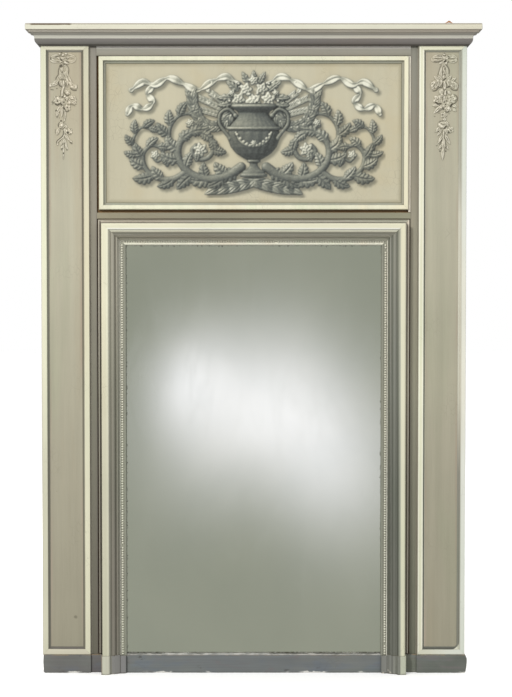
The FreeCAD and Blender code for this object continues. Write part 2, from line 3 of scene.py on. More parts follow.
import bpy
import numpy as np
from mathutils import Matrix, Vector

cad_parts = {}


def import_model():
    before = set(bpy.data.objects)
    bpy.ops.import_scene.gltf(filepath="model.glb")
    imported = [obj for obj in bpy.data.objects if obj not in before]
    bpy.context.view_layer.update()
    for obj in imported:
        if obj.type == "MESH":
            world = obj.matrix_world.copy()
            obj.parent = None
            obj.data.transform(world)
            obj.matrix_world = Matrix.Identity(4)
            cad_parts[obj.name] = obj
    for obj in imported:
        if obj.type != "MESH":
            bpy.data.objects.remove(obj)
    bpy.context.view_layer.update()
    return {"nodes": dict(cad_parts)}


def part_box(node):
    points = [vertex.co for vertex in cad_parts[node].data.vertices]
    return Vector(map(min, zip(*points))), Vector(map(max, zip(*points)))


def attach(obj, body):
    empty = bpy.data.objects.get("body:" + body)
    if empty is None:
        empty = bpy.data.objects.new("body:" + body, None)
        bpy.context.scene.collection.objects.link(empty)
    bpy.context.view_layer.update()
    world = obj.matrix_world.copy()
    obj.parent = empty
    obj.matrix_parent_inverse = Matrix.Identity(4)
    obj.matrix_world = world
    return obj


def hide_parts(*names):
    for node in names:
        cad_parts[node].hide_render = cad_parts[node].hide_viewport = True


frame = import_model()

# A painted trumeau mirror.  Everything is in metres in the row frame: +Z up,
# the front faces -Y.  "h" below is the distance in front of the wall side, in
# millimetres, so that y = (47.5 - h) / 1000.

NODES = frame["nodes"]
MM = 0.001
HALF = 47.5


def world(u, h, z):
    """Millimetres across, in front of the wall side, and up, to metres."""
    return (u * MM, (HALF - h) * MM, z * MM)


def lin(rgb):
    """Display values 0..255 to linear RGBA."""
    c = np.asarray(rgb, float) / 255.0
    c = np.where(c <= 0.04045, c / 12.92, ((c + 0.055) / 1.055) ** 2.4)
    return (float(c[0]), float(c[1]), float(c[2]), 1.0)


# ======================================================================
# node graphs
# ======================================================================
class Graph:
    def __init__(self, name):
        self.mat = bpy.data.materials.new(name)
        self.mat.use_nodes = True
        self.nt = self.mat.node_tree
        self.nt.nodes.clear()
        self.out = self.node("ShaderNodeOutputMaterial")
        self.tc = self.node("ShaderNodeTexCoord")
        self.P = self.tc.outputs["Object"]
        sep = self.node("ShaderNodeSeparateXYZ")
        self.nt.links.new(self.P, sep.inputs[0])
        self.x = self.m("MULTIPLY", sep.outputs[0], 1000.0)
        self.y = self.m("MULTIPLY", sep.outputs[1], 1000.0)
        self.z = self.m("MULTIPLY", sep.outputs[2], 1000.0)
        self.h = self.m("SUBTRACT", HALF, self.y)
        self.ax = self.m("ABSOLUTE", self.x)
        geo = self.node("ShaderNodeNewGeometry")
        self.N = geo.outputs["Normal"]
        self.TN = geo.outputs["True Normal"]

    def node(self, kind, **kw):
        n = self.nt.nodes.new(kind)
        for k, v in kw.items():
            setattr(n, k, v)
        return n

    def put(self, socket, value):
        if isinstance(value, bpy.types.NodeSocket):
            self.nt.links.new(value, socket)
        elif value is not None:
            if hasattr(socket.default_value, "__len__") and not hasattr(value, "__len__"):
                value = [value] * len(socket.default_value)
            if hasattr(socket.default_value, "__len__") and len(value) > len(socket.default_value):
                value = value[: len(socket.default_value)]
            socket.default_value = value

    def m(self, op, a, b=None, c=None, clamp=False):
        n = self.node("ShaderNodeMath", operation=op, use_clamp=clamp)
        for s, v in zip(n.inputs, (a, b, c)):
            self.put(s, v)
        return n.outputs[0]

    def vm(self, op, a, b=None, scale=None):
        n = self.node("ShaderNodeVectorMath", operation=op)
        self.put(n.inputs[0], a)
        if b is not None:
            self.put(n.inputs[1], b)
        if scale is not None:
            self.put(n.inputs["Scale"], scale)
        return n.outputs["Value"] if op in ("DOT_PRODUCT", "LENGTH", "DISTANCE") else n.outputs[0]

    def mix(self, fac, a, b, mode="MIX"):
        n = self.node("ShaderNodeMix", data_type="RGBA", blend_type=mode)
        n.clamp_factor = True
        self.put(n.inputs[0], fac)
        self.put(n.inputs[6], a)
        self.put(n.inputs[7], b)
        return n.outputs[2]

    def fmix(self, fac, a, b):
        n = self.node("ShaderNodeMix", data_type="FLOAT")
        self.put(n.inputs[0], fac)
        self.put(n.inputs[2], a)
        self.put(n.inputs[3], b)
        return n.outputs[0]

    def remap(self, v, a0, a1, b0=0.0, b1=1.0, smooth=True):
        n = self.node("ShaderNodeMapRange", interpolation_type="SMOOTHSTEP" if smooth else "LINEAR")
        n.clamp = True
        for s, q in zip(n.inputs[:5], (v, a0, a1, b0, b1)):
            self.put(s, q)
        return n.outputs[0]

    def band(self, v, lo, hi, soft=0.4):
        """1 where v lies between lo and hi, with soft edges."""
        a = self.remap(v, lo - soft, lo + soft)
        b = self.remap(v, hi - soft, hi + soft, 1.0, 0.0)
        return self.m("MULTIPLY", a, b)

    def stretch(self, sx, sy, sz, vec=None):
        n = self.node("ShaderNodeMapping", vector_type="POINT")
        self.put(n.inputs["Vector"], vec if vec is not None else self.P)
        n.inputs["Scale"].default_value = (sx, sy, sz)
        return n.outputs[0]

    def noise(self, vec, scale=1.0, detail=3.0, rough=0.5, dist=0.0):
        n = self.node("ShaderNodeTexNoise", noise_dimensions="3D")
        self.put(n.inputs["Vector"], vec)
        n.inputs["Scale"].default_value = scale
        n.inputs["Detail"].default_value = detail
        n.inputs["Roughness"].default_value = rough
        n.inputs["Distortion"].default_value = dist
        return n.outputs["Fac"]

    def voronoi(self, vec, scale, feature="F1", random=1.0):
        n = self.node("ShaderNodeTexVoronoi", voronoi_dimensions="3D", feature=feature)
        self.put(n.inputs["Vector"], vec)
        n.inputs["Scale"].default_value = scale
        n.inputs["Randomness"].default_value = random
        return n

    def ramp(self, fac, stops, interp="LINEAR"):
        n = self.node("ShaderNodeValToRGB")
        cr = n.color_ramp
        cr.interpolation = interp
        while len(cr.elements) < len(stops):
            cr.elements.new(0.5)
        for e, (p, c) in zip(cr.elements, stops):
            e.position = p
            e.color = c
        self.put(n.inputs[0], fac)
        return n.outputs[0]

    def zones(self, v, lo, hi, stops, wob=0.35, wob_scale=9.0):
        """Colours along v (mm): each (start, colour) holds up to the next
        start; the borders wander like a brushed line."""
        w = self.noise(self.stretch(1, 1, 1), wob_scale, 4.0, 0.6)
        v = self.m("ADD", v, self.m("MULTIPLY", self.m("SUBTRACT", w, 0.5), wob * 4))
        fac = self.remap(v, lo, hi, smooth=False)
        soft = 0.35 / (hi - lo)
        pts = []
        for i, (s, c) in enumerate(stops):
            p = (s - lo) / (hi - lo)
            if i:
                pts.append((min(1.0, max(0.0, p - soft)), stops[i - 1][1]))
            pts.append((min(1.0, max(0.0, p + (soft if i else 0))), c))
        return self.ramp(fac, pts)

    def scale_colour(self, col, f):
        return self.vm("SCALE", col, scale=f)


RAW_LIGHT, RAW_DARK = lin((176, 138, 94)), lin((120, 84, 50))


def pine_colour(g, grain="z", tone=1.0):
    """Old bare softwood with its grain along z, or along x."""
    if grain == "z":
        s = lambda a, b: g.stretch(a, a, b)
    else:
        s = lambda a, b: g.stretch(b, a, a)
    wav = g.noise(s(7.0, 0.8), 1.0, 3.0, 0.55)
    base = g.x if grain == "z" else g.z
    rings = g.m("ADD", g.m("MULTIPLY", base, 0.052), g.m("MULTIPLY", wav, 9.0))
    rings = g.m("ADD", rings, g.m("MULTIPLY", g.noise(s(60, 1.2), 1.0, 2.0), 0.9))
    late = g.m("POWER", g.m("ABSOLUTE", g.m("SINE", g.m("MULTIPLY", rings, 3.1416))), 0.45)
    fibre = g.noise(s(520, 7), 1.0, 3.0, 0.6)
    v = g.voronoi(s(4.2, 1.7), 1.0)
    knot = g.remap(v.outputs["Distance"], 0.045, 0.10, 1.0, 0.0)
    col = g.mix(late, RAW_DARK, RAW_LIGHT)
    col = g.mix(g.m("MULTIPLY", fibre, 0.55), col, lin((206, 172, 128)))
    big = g.noise(g.P, 3.1, 3.0)
    col = g.mix(g.remap(big, 0.35, 0.78, 0.0, 0.36), col, lin((104, 82, 58)))
    col = g.mix(g.m("MULTIPLY", knot, 0.85), col, lin((62, 38, 22)))
    dust = g.noise(g.P, 11.0, 5.0, 0.65)
    col = g.mix(g.remap(dust, 0.45, 0.8, 0.0, 0.5), col, lin((150, 138, 118)))
    if tone != 1.0:
        col = g.scale_colour(col, tone)
    height = g.m("ADD", g.m("MULTIPLY", late, 0.35), g.m("MULTIPLY", fibre, 0.9))
    return col, height


def principled(g, colour, rough, normal=None, metallic=0.0, spec=0.5):
    b = g.node("ShaderNodeBsdfPrincipled")
    g.put(b.inputs["Base Color"], colour)
    g.put(b.inputs["Roughness"], rough)
    g.put(b.inputs["Metallic"], metallic)
    b.inputs["Specular IOR Level"].default_value = spec
    if normal is not None:
        g.put(b.inputs["Normal"], normal)
    g.nt.links.new(b.outputs[0], g.out.inputs["Surface"])
    return b


def bump(g, height, strength=0.4, distance=0.0006, normal=None):
    n = g.node("ShaderNodeBump")
    n.inputs["Strength"].default_value = strength
    n.inputs["Distance"].default_value = distance
    g.put(n.inputs["Height"], height)
    if normal is not None:
        g.put(n.inputs["Normal"], normal)
    return n.outputs[0]


def pine(name, grain="z", tone=1.0):
    g = Graph(name)
    col, height = pine_colour(g, grain, tone)
    # painted shade: the bare wood is darkened where the form closes in (ambient occlusion)
    ao = g.node("ShaderNodeAmbientOcclusion", samples=4)
    ao.inputs["Distance"].default_value = 0.02
    col = g.mix(g.remap(ao.outputs["AO"], 0.3, 0.95, 0.55, 0.0), col, lin((58, 44, 32)))
    saw = g.noise(g.stretch(6, 6, 240) if grain == "z" else g.stretch(240, 6, 6), 1.0, 2.0)
    height = g.m("ADD", height, g.m("MULTIPLY", saw, 0.3))
    principled(g, col, g.remap(height, 0.2, 1.2, 0.72, 0.88), bump(g, height, 0.35, 0.0008), spec=0.25)
    return g.mat


def finish_paint(g, colour, grain="z", rough=0.52, streak=0.07, cloud=0.06, shade_and_dirt=0.4,
                 wear=(180, 168, 142), wear_amount=0.6, shade_and_dirt_colour=(76, 72, 62),
                 bump_strength=0.35, raw_back=True, edge=0.0016, drift=0.35, ao_reach=0.010):
    """Old brushed distemper over the given colour: brush streaks, clouds,
    grime with painted shade in the corners, rubbed edges, fine cracks, and bare wood behind."""
    if grain == "z":
        s = lambda a, b: g.stretch(a, a, b)
    else:
        s = lambda a, b: g.stretch(b, a, a)
    clouds = g.noise(g.P, 2.6, 4.0, 0.55, 0.3)
    bands = g.noise(s(38, 1.3), 1.0, 4.0, 0.55)
    hair = g.noise(s(420, 9), 1.0, 3.0, 0.6)
    grainy = g.noise(g.P, 700.0, 2.0, 0.6)
    f = g.m("ADD", 1.0, g.m("MULTIPLY", g.m("SUBTRACT", clouds, 0.5), cloud * 4))
    f = g.m("ADD", f, g.m("MULTIPLY", g.m("SUBTRACT", bands, 0.5), streak * 3))
    f = g.m("ADD", f, g.m("MULTIPLY", g.m("SUBTRACT", hair, 0.5), streak * 1.6))
    f = g.m("ADD", f, g.m("MULTIPLY", g.m("SUBTRACT", grainy, 0.5), 0.05))
    col = g.scale_colour(colour, f)
    # slow drift between a pinkish and a greenish cast
    tint = g.noise(s(9.0, 0.9), 1.0, 3.0, 0.5, 0.4)
    col = g.mix(g.m("MULTIPLY", g.remap(tint, 0.5, 0.72), drift), col,
                g.mix(1.0, col, lin((255, 240, 226)), "MULTIPLY"))
    col = g.mix(g.m("MULTIPLY", g.remap(tint, 0.5, 0.28), drift), col,
                g.mix(1.0, col, lin((238, 252, 240)), "MULTIPLY"))
    # grime and painted shade where the form closes in: darkened by ambient occlusion
    ao = g.node("ShaderNodeAmbientOcclusion", samples=6)
    ao.inputs["Distance"].default_value = ao_reach
    occluded_shade = g.remap(ao.outputs["AO"], 0.25, 0.92, 1.0, 0.0)
    grime_and_shade = g.m("MULTIPLY", occluded_shade, g.remap(g.noise(g.P, 60.0, 4.0, 0.6), 0.25, 0.7, 0.45, 1.0))
    col = g.mix(g.m("MULTIPLY", grime_and_shade, shade_and_dirt), col, lin(shade_and_dirt_colour))
    # rubbed arrises
    bev = g.node("ShaderNodeBevel", samples=4)
    bev.inputs["Radius"].default_value = edge
    flat = g.vm("DOT_PRODUCT", bev.outputs[0], g.TN)
    arris = g.m("MULTIPLY", g.remap(flat, 0.985, 0.90), g.remap(ao.outputs["AO"], 0.72, 0.93))
    rub = g.remap(g.noise(g.P, 85.0, 5.0, 0.7), 0.46, 0.66)
    rub = g.m("MULTIPLY", g.m("MULTIPLY", arris, rub), wear_amount)
    col = g.mix(rub, col, lin(wear))
    # small specks and knocks
    v = g.voronoi(g.P, 26.0)
    pick = g.node("ShaderNodeSeparateColor")
    g.put(pick.inputs[0], v.outputs["Color"])
    speck = g.m("MULTIPLY", g.remap(v.outputs["Distance"], 0.03, 0.055, 1.0, 0.0),
                g.remap(pick.outputs[0], 0.86, 0.9))
    col = g.mix(g.m("MULTIPLY", speck, 0.4), col, lin((92, 80, 62)))
    # fine cracks across the grain of the paint
    cr = g.voronoi(g.stretch(1, 1, 0.45) if grain == "z" else g.stretch(0.45, 1, 1), 70.0,
                   "DISTANCE_TO_EDGE")
    crack = g.remap(cr.outputs["Distance"], 0.0, 0.03, 1.0, 0.0)
    crack = g.m("MULTIPLY", crack, g.remap(g.noise(g.P, 6.0, 3.0), 0.52, 0.7))
    col = g.mix(g.m("MULTIPLY", crack, 0.25), col, lin((80, 72, 60)))
    height = g.m("ADD", g.m("MULTIPLY", hair, 0.5), g.m("MULTIPLY", bands, 0.5))
    height = g.m("ADD", height, g.m("MULTIPLY", crack, -0.5))
    height = g.m("ADD", height, g.m("MULTIPLY", speck, -0.6))
    height = g.m("ADD", height, g.m("MULTIPLY", rub, -0.4))
    r = g.m("ADD", rough, g.m("MULTIPLY", g.m("SUBTRACT", clouds, 0.5), 0.25))
    r = g.m("ADD", r, g.m("MULTIPLY", rub, 0.2))
    if raw_back:
        wood, wood_h = pine_colour(g, grain)
        sep = g.node("ShaderNodeSeparateXYZ")
        g.put(sep.inputs[0], g.TN)
        bare = g.remap(g.m("ADD", sep.outputs[1], g.m("MULTIPLY", g.m("SUBTRACT", clouds, 0.5), 0.4)), 0.35, 0.5)
        col = g.mix(bare, col, wood)
        height = g.fmix(bare, height, wood_h)
        r = g.fmix(bare, r, 0.8)
    n = bump(g, height, bump_strength, 0.0007, bev.outputs[0])
    principled(g, col, r, n, spec=0.35)
    return g.mat


# ======================================================================
# the paint colours (display values of the paint itself)
# ======================================================================
CREAM = lin((226, 223, 197))
CREAM_LIGHT = lin((234, 232, 206))
GREY = lin((150, 146, 132))
PANEL = lin((184, 179, 157))


def falloff(g, col, top, low, z0=60.0, z1=2200.0):
    """Darker towards the floor."""
    t = g.remap(g.z, z0, z1, low, top, smooth=False)
    return g.scale_colour(col, t)


# The lower outer corner of the right panel has been repainted round.
ROUND_X, ROUND_Z = 696.0, 111.5


def rounded(g, r0, r1):
    dx, dz = g.m("SUBTRACT", g.x, ROUND_X), g.m("SUBTRACT", ROUND_Z, g.z)
    r = g.m("SQRT", g.m("ADD", g.m("MULTIPLY", dx, dx), g.m("MULTIPLY", dz, dz)))
    inside = g.m("MULTIPLY", g.m("GREATER_THAN", dx, 0.0), g.m("GREATER_THAN", dz, 0.0))
    return g.m("MULTIPLY", inside, g.remap(r, r0, r1))


def level(g, col, stops, z0=60.0, z1=2200.0):
    """Scales a colour by a factor that changes up the height."""
    f = g.ramp(g.remap(g.z, z0, z1, smooth=False),
               [((z - z0) / (z1 - z0), (v, v, v, 1.0)) for z, v in stops])
    return g.mix(1.0, col, f, "MULTIPLY")


# On the right pilaster the inner hollow is painted dark as shadow and the outer one light as lit, and the near-white
# lines beside the inner hollow are painted highlights
BEAD_STOPS = {
    "outer_left": [(0, lin((214, 208, 188))), (2.2, CREAM_LIGHT), (18.6, lin((170, 168, 150))), (21.4, lin((128, 126, 114))), (27.0, lin((160, 156, 139)))],
    "inner_left": [(0, lin((152, 148, 134))), (2.0, CREAM), (18.6, lin((176, 172, 152))), (21.4, lin((122, 119, 105))), (26.6, lin((136, 132, 117)))],
    "inner_right": [(0, lin((148, 143, 128))), (3.8, lin((250, 248, 228))), (8.0, CREAM_LIGHT), (16.4, lin((252, 250, 230))), (21.6, lin((150, 150, 138))),
                    (23.2, lin((92, 93, 84))), (26.2, lin((214, 210, 192)))],
    "outer_right": [(0, lin((232, 234, 222))), (15.2, lin((206, 206, 192)))],
    "top_left": [(0, lin((220, 216, 194))), (20.8, lin((186, 182, 168))), (23.2, lin((132, 129, 118))), (27.6, lin((176, 171, 152)))],
    "top_right": [(0, CREAM_LIGHT), (20.8, lin((190, 188, 172))), (23.2, lin((140, 138, 126))), (27.6, lin((176, 171, 152)))],
    "bottom_left": [(0, lin((214, 209, 188))), (19.8, lin((108, 105, 98))), (26.4, lin((118, 115, 106)))],
    "bottom_right": [(0, lin((212, 210, 192))), (18.4, lin((92, 93, 85))), (25.4, lin((122, 122, 112)))],
}
BEAD_LEVEL = {
    "outer_left": [(60, 0.80), (700, 0.80), (1150, 0.98), (1500, 1.0), (1900, 0.93), (2200, 0.86)],
    "inner_left": [(60, 0.98), (1320, 1.0), (1500, 0.93), (1950, 0.84), (2200, 0.80)],
    "inner_right": [(60, 0.86), (500, 0.98), (2200, 0.96)],
    "outer_right": [(60, 0.90), (600, 0.98), (1300, 1.0), (1900, 0.92), (2200, 0.88)],
}


def mat_pilaster_bead(where):
    g = Graph("paint_bead_" + where)
    edge = where.split("_")[0]
    w = {"outer": lambda: g.m("SUBTRACT", 744.0, g.ax), "inner": lambda: g.m("SUBTRACT", g.ax, 574.5),
         "top": lambda: g.m("SUBTRACT", 2207.0, g.z), "bottom": lambda: g.m("SUBTRACT", g.z, 63.5)}[edge]()
    col = g.zones(w, 0.0, 28.0, BEAD_STOPS[where], wob=0.3)
    if where == "outer_right":
        # the hollow has been painted out light half way up and left dark below
        cove = g.remap(w, 17.0, 19.0)
        tone = g.ramp(g.remap(g.z, 60, 2200, smooth=False),
                      [(0.0, lin((136, 135, 124))), (0.10, lin((142, 141, 130))), (0.30, lin((152, 151, 139))), (0.42, lin((205, 204, 188))),
                       (0.72, lin((214, 212, 196))), (0.80, lin((186, 183, 168))), (1.0, lin((180, 177, 164)))])
        col = g.mix(cove, col, tone)
    if where == "bottom_right":
        col = g.mix(g.m("MULTIPLY", g.remap(g.x, 600.0, 720.0), g.remap(w, 18.2, 17.0)), col, lin((222, 224, 212)))
    if where in ("outer_right", "bottom_right"):
        cove = g.remap(w, 16.0, 20.0)
        col = g.mix(g.m("MULTIPLY", rounded(g, 29.0, 31.0), cove), col, lin((214, 213, 196)))
    if where in BEAD_LEVEL:
        col = level(g, col, BEAD_LEVEL[where])
    return finish_paint(g, col, grain="x" if edge in ("top", "bottom") else "z", wear_amount=0.5, shade_and_dirt=0.3)


def panel_colour(g):
    col = g.ramp(g.remap(g.z, 60, 2200, smooth=False),
                 [(0.0, lin((160, 155, 135))), (0.35, lin((172, 167, 147))), (0.75, lin((185, 181, 160))), (1.0, lin((180, 174, 153)))])
    # a worn strip beside the cream on both sides
    u = g.m("SUBTRACT", g.ax, 659.25)
    side = g.remap(g.m("ABSOLUTE", u), 46.0, 56.0)
    col = g.mix(g.m("MULTIPLY", side, g.remap(g.noise(g.stretch(20, 20, 3), 1.0, 4.0), 0.35, 0.7)), col, lin((172, 160, 142)))
    return col


PANEL_FINISH = dict(streak=0.09, cloud=0.05, drift=0.28, wear_amount=0.4)


def mat_panel():
    g = Graph("paint_pilaster_panels")
    col = panel_colour(g)
    # one dark knock low on the left panel
    d = g.vm("DISTANCE", g.vm("MULTIPLY", g.P, (1000, 0, 1000)), (-629.0, 0.0, 196.0))
    spot = g.remap(g.m("ADD", d, g.m("MULTIPLY", g.noise(g.P, 150, 3.0), 6.0)), 6.0, 11.0, 1.0, 0.0)
    col = g.mix(g.m("MULTIPLY", spot, 0.65), col, lin((112, 108, 92)))
    # the painted line that turns the lower corner of the right panel
    col = g.mix(rounded(g, 23.5, 25.5), col, lin((112, 113, 104)))
    col = g.mix(rounded(g, 29.0, 31.0), col, lin((206, 205, 188)))
    return finish_paint(g, col, shade_and_dirt=0.3, **PANEL_FINISH)


def mat_carving():
    g = Graph("paint_carving")
    a = g.node("ShaderNodeAttribute", attribute_name="relief", attribute_type="GEOMETRY")
    sep = g.node("ShaderNodeSeparateColor")
    g.put(sep.inputs[0], a.outputs["Color"])
    highlight_and_rub, shade_and_grime = sep.outputs[0], sep.outputs[1]
    # the panel's own paint runs over the carving, with painted highlights and rubbed paint where it stands up, and
    # painted shade with old grime lying in the hollows and along its foot
    col = panel_colour(g)
    n = g.noise(g.P, 60.0, 4.0)
    highlight_rub = g.m("MULTIPLY", highlight_and_rub, g.remap(n, 0.25, 0.6, 0.70, 1.0))
    col = g.mix(highlight_rub, col, lin((250, 244, 226)))
    hollow_shade = g.m("MULTIPLY", shade_and_grime, g.remap(n, 0.35, 0.7, 1.0, 0.85))
    col = g.mix(hollow_shade, col, lin((70, 66, 56)))
    return finish_paint(g, col, shade_and_dirt=0.12, wear=(240, 234, 214), edge=0.0006, raw_back=False, ao_reach=0.004,
                        **PANEL_FINISH)


def mat_grey(name, grain, side="left"):
    g = Graph(name)
    if grain == "x":
        # painted shade: darker at the foot of the rail over the painting frame; painted light: near white just under
        # the cornice, against its shadow
        col = g.ramp(g.remap(g.z, 1600, 2250, smooth=False),
                     [(0.0, lin((156, 151, 131))), (0.06, lin((152, 148, 127))), (0.80, lin((150, 146, 134))), (0.863, lin((132, 128, 117))), (0.882, lin((152, 148, 136))),
                      (0.893, lin((160, 156, 144))), (0.908, lin((163, 160, 149))), (0.915, lin((196, 193, 183))), (0.9185, lin((255, 252, 244))), (1.0, lin((255, 252, 244)))])
    elif side == "left":
        col = g.ramp(g.remap(g.z, 60, 2250, smooth=False),
                     [(0.0, lin((117, 114, 101))), (0.6, lin((148, 145, 131))), (1.0, lin((150, 146, 136)))])
    else:
        # painted light: the right upright is lighter beside the mirror, against the shadow the moulding casts on it
        col = g.ramp(g.remap(g.z, 60, 2250, smooth=False),
                     [(0.0, lin((118, 119, 104))), (0.35, lin((144, 142, 126))), (0.62, lin((166, 162, 143))),
                      (0.82, lin((150, 147, 134))), (1.0, lin((142, 141, 130)))])
    if grain == "z":
        # a light line painted beside the pilaster against the shadow it casts (painted light), and purplish grime with
        # painted shade along the edge by the mirror
        w = g.m("SUBTRACT", g.ax, 549.5)
        grime_and_shade = g.m("MULTIPLY", g.remap(w, 6.0, 1.0), g.remap(g.z, 1640.0, 1560.0, 0.30, 0.60 if side == "left" else 0.15))
        col = g.mix(grime_and_shade, col, lin((104, 96, 92)))
        if side == "left":
            col = g.mix(g.m("MULTIPLY", g.remap(w, 19.5, 22.5), 0.85), col, lin((204, 200, 184)))
        else:
            col = g.mix(g.m("MULTIPLY", g.remap(w, 20.5, 23.0), 0.45), col, lin((176, 172, 158)))
    return finish_paint(g, col, grain=grain, shade_and_dirt=0.14 if side == "right" else 0.28, shade_and_dirt_colour=(76, 73, 64))


def mat_base(name, grain, colour):
    g = Graph(name)
    col = g.mix(g.remap(g.noise(g.P, 5.0, 4.0), 0.4, 0.7, 0.0, 0.6), colour, lin((126, 128, 122)))
    # bluish and purplish clouds where the grey was brushed on thin
    blue = g.remap(g.noise(g.stretch(7, 7, 16), 1.0, 4.0, 0.55, 0.4), 0.50, 0.68)
    col = g.mix(g.m("MULTIPLY", blue, 0.55), col, lin((110, 118, 127)))
    plum = g.remap(g.noise(g.stretch(9, 9, 20), 1.0, 4.0, 0.55, 0.6), 0.46, 0.32)
    col = g.mix(g.m("MULTIPLY", plum, 0.5), col, lin((121, 113, 113)))
    drag = g.noise(g.stretch(3.4, 3.4, 150.0), 1.0, 4.0, 0.6)
    col = g.scale_colour(col, g.remap(drag, 0.25, 0.75, 0.92, 1.07))
    # scuffs and knocks
    scuff = g.remap(g.noise(g.stretch(14, 14, 30), 1.0, 5.0, 0.6), 0.66, 0.72)
    col = g.mix(g.m("MULTIPLY", scuff, 0.6), col, lin((78, 76, 72)))
    pale = g.remap(g.noise(g.stretch(11, 11, 120), 1.0, 5.0, 0.65, 0.3), 0.66, 0.74)
    col = g.mix(g.m("MULTIPLY", pale, 0.5), col, lin((152, 152, 148)))
    rim = g.m("MULTIPLY", g.remap(g.z, 60.2, 62.6), g.remap(g.noise(g.stretch(40, 40, 10), 1.0, 4.0), 0.38, 0.6))
    col = g.mix(g.m("MULTIPLY", rim, 0.8), col, lin((152, 134, 108)))
    ragged = g.m("ADD", g.z, g.m("MULTIPLY", g.noise(g.P, 55.0, 4.0), 6.0))
    foot = g.remap(ragged, 3.0, 9.0, 1.0, 0.0)
    col = g.mix(g.m("MULTIPLY", foot, 0.4), col, lin((84, 80, 74)))
    # the lower arris is chipped back to gesso in runs
    runs = g.remap(g.noise(g.P, 7.5, 3.0, 0.5), 0.50, 0.60)
    bite = g.m("ADD", g.z, g.m("MULTIPLY", g.noise(g.P, 70.0, 4.0, 0.65), -16.0))
    chip = g.m("MULTIPLY", runs, g.remap(bite, -2.6, -4.2))
    col = g.mix(g.m("MULTIPLY", chip, 0.92), col, lin((238, 236, 228)))
    return finish_paint(g, col, grain=grain, shade_and_dirt=0.4, wear=(164, 160, 148), streak=0.06, cloud=0.08)


# Colours across each member; part of them is painted light: the dark lines in the quirks and valleys are painted shade,
# and the near-white bands on the slopes and outer edges are painted highlights laid against the moulding's own shade
MOULD_STOPS = {
    "left": [(0, lin((172, 169, 154))), (5.2, lin((170, 166, 151))), (10.0, lin((146, 141, 127))), (15.3, lin((164, 159, 145))),
             (27.8, lin((140, 136, 123))), (31.0, lin((176, 173, 157))), (34.6, lin((236, 233, 212))), (38.0, CREAM_LIGHT), (44.0, CREAM),
             (60.8, lin((198, 190, 172))), (62.0, lin((114, 108, 96))), (70.3, lin((184, 178, 163)))],
    "right": [(0, lin((118, 120, 108))), (5.0, lin((156, 157, 146))), (9.6, lin((124, 126, 115))), (16.0, lin((142, 143, 132))),
              (26.4, lin((112, 114, 103))), (31.0, lin((150, 152, 138))), (36.0, lin((182, 183, 166))), (41.0, CREAM),
              (58.0, lin((246, 242, 224))), (60.6, lin((92, 87, 76))), (64.8, lin((214, 208, 192))), (70.0, lin((226, 220, 204)))],
    "top": [(0, lin((196, 193, 174))), (3.2, lin((160, 157, 141))), (5.6, lin((124, 121, 108))), (9.6, lin((150, 147, 132))),
            (13.2, lin((222, 218, 202))), (17.4, lin((128, 126, 113))), (28.2, lin((250, 248, 224))), (33.0, lin((255, 254, 240))), (41.5, CREAM), (57.8, lin((206, 200, 180))), (59.2, lin((96, 92, 78))),
            (64.4, lin((220, 214, 198))), (72.0, lin((138, 132, 116)))],
}


def mat_mould(where):
    g = Graph("paint_mirror_moulding_" + where)
    side = g.m("SUBTRACT", g.ax, 470.0)
    top = g.m("DIVIDE", g.m("SUBTRACT", g.z, 1527.0), 0.933)
    w = top if where == "top" else side
    if where == "right":
        # the cream was laid wider towards the floor on this side
        w = g.m("SUBTRACT", w, g.remap(g.z, 62.0, 1400.0, 5.4, 1.4, smooth=False))
    col = g.zones(w, 0.0, 76.0, MOULD_STOPS[where], wob=0.3)
    # the greys darken towards the floor more than the cream does
    cream = g.band(w, 36.5, 61.5, 1.0)
    lowk = g.fmix(cream, 0.64, 1.0 if where == "right" else 0.80)
    t = g.remap(g.z, 620.0, 1420.0, 0.0, 1.0, smooth=False)
    col = g.scale_colour(col, g.fmix(t, lowk, 1.0))
    # the joint over the foot
    joint = g.m("MULTIPLY", g.band(g.z, 65.2, 67.4, 0.7), 0.7)
    col = g.mix(joint, col, lin((112, 104, 86)))
    return finish_paint(g, col, grain="x" if where == "top" else "z", shade_and_dirt=0.2, wear=(190, 180, 160), wear_amount=0.6,
                        shade_and_dirt_colour=(76, 73, 64))


def mat_foot(side):
    g = Graph("paint_foot_" + side)
    w = g.m("SUBTRACT", g.ax, 470.0 if side == "left" else 475.4)
    if side == "left":
        col = g.zones(w, -22.0, 70.0, [(-22, lin((132, 131, 130))), (-3, lin((124, 123, 120))), (2, lin((140, 139, 135))), (28, lin((146, 144, 134))),
                                       (34.5, lin((206, 204, 186))), (61.0, lin((150, 140, 126)))], wob=0.4)
    else:
        col = g.zones(w, -22.0, 70.0, [(-22, lin((132, 133, 127))), (-3, lin((116, 117, 110))), (2, lin((128, 129, 122))), (8, lin((112, 113, 106))), (14, lin((136, 137, 128))), (22, lin((118, 119, 110))), (30, lin((130, 131, 122))),
                                       (39.0, lin((196, 198, 178))), (61.4, lin((160, 154, 138)))], wob=0.4)
    foot = g.remap(g.m("ADD", g.z, g.m("MULTIPLY", g.noise(g.P, 55.0, 4.0), 6.0)), 3.0, 9.0, 1.0, 0.0)
    col = g.mix(g.m("MULTIPLY", foot, 0.5), col, lin((84, 78, 70)))
    # knocks that show the wood and old gesso
    chip = g.m("MULTIPLY", g.remap(g.noise(g.P, 48.0, 3.0, 0.6), 0.63, 0.66), g.remap(g.z, 26.0, 8.0))
    col = g.mix(g.m("MULTIPLY", chip, 0.8), col, lin((206, 200, 184)))
    return finish_paint(g, col, shade_and_dirt=0.35, wear=(184, 172, 150), wear_amount=0.8, streak=0.10)


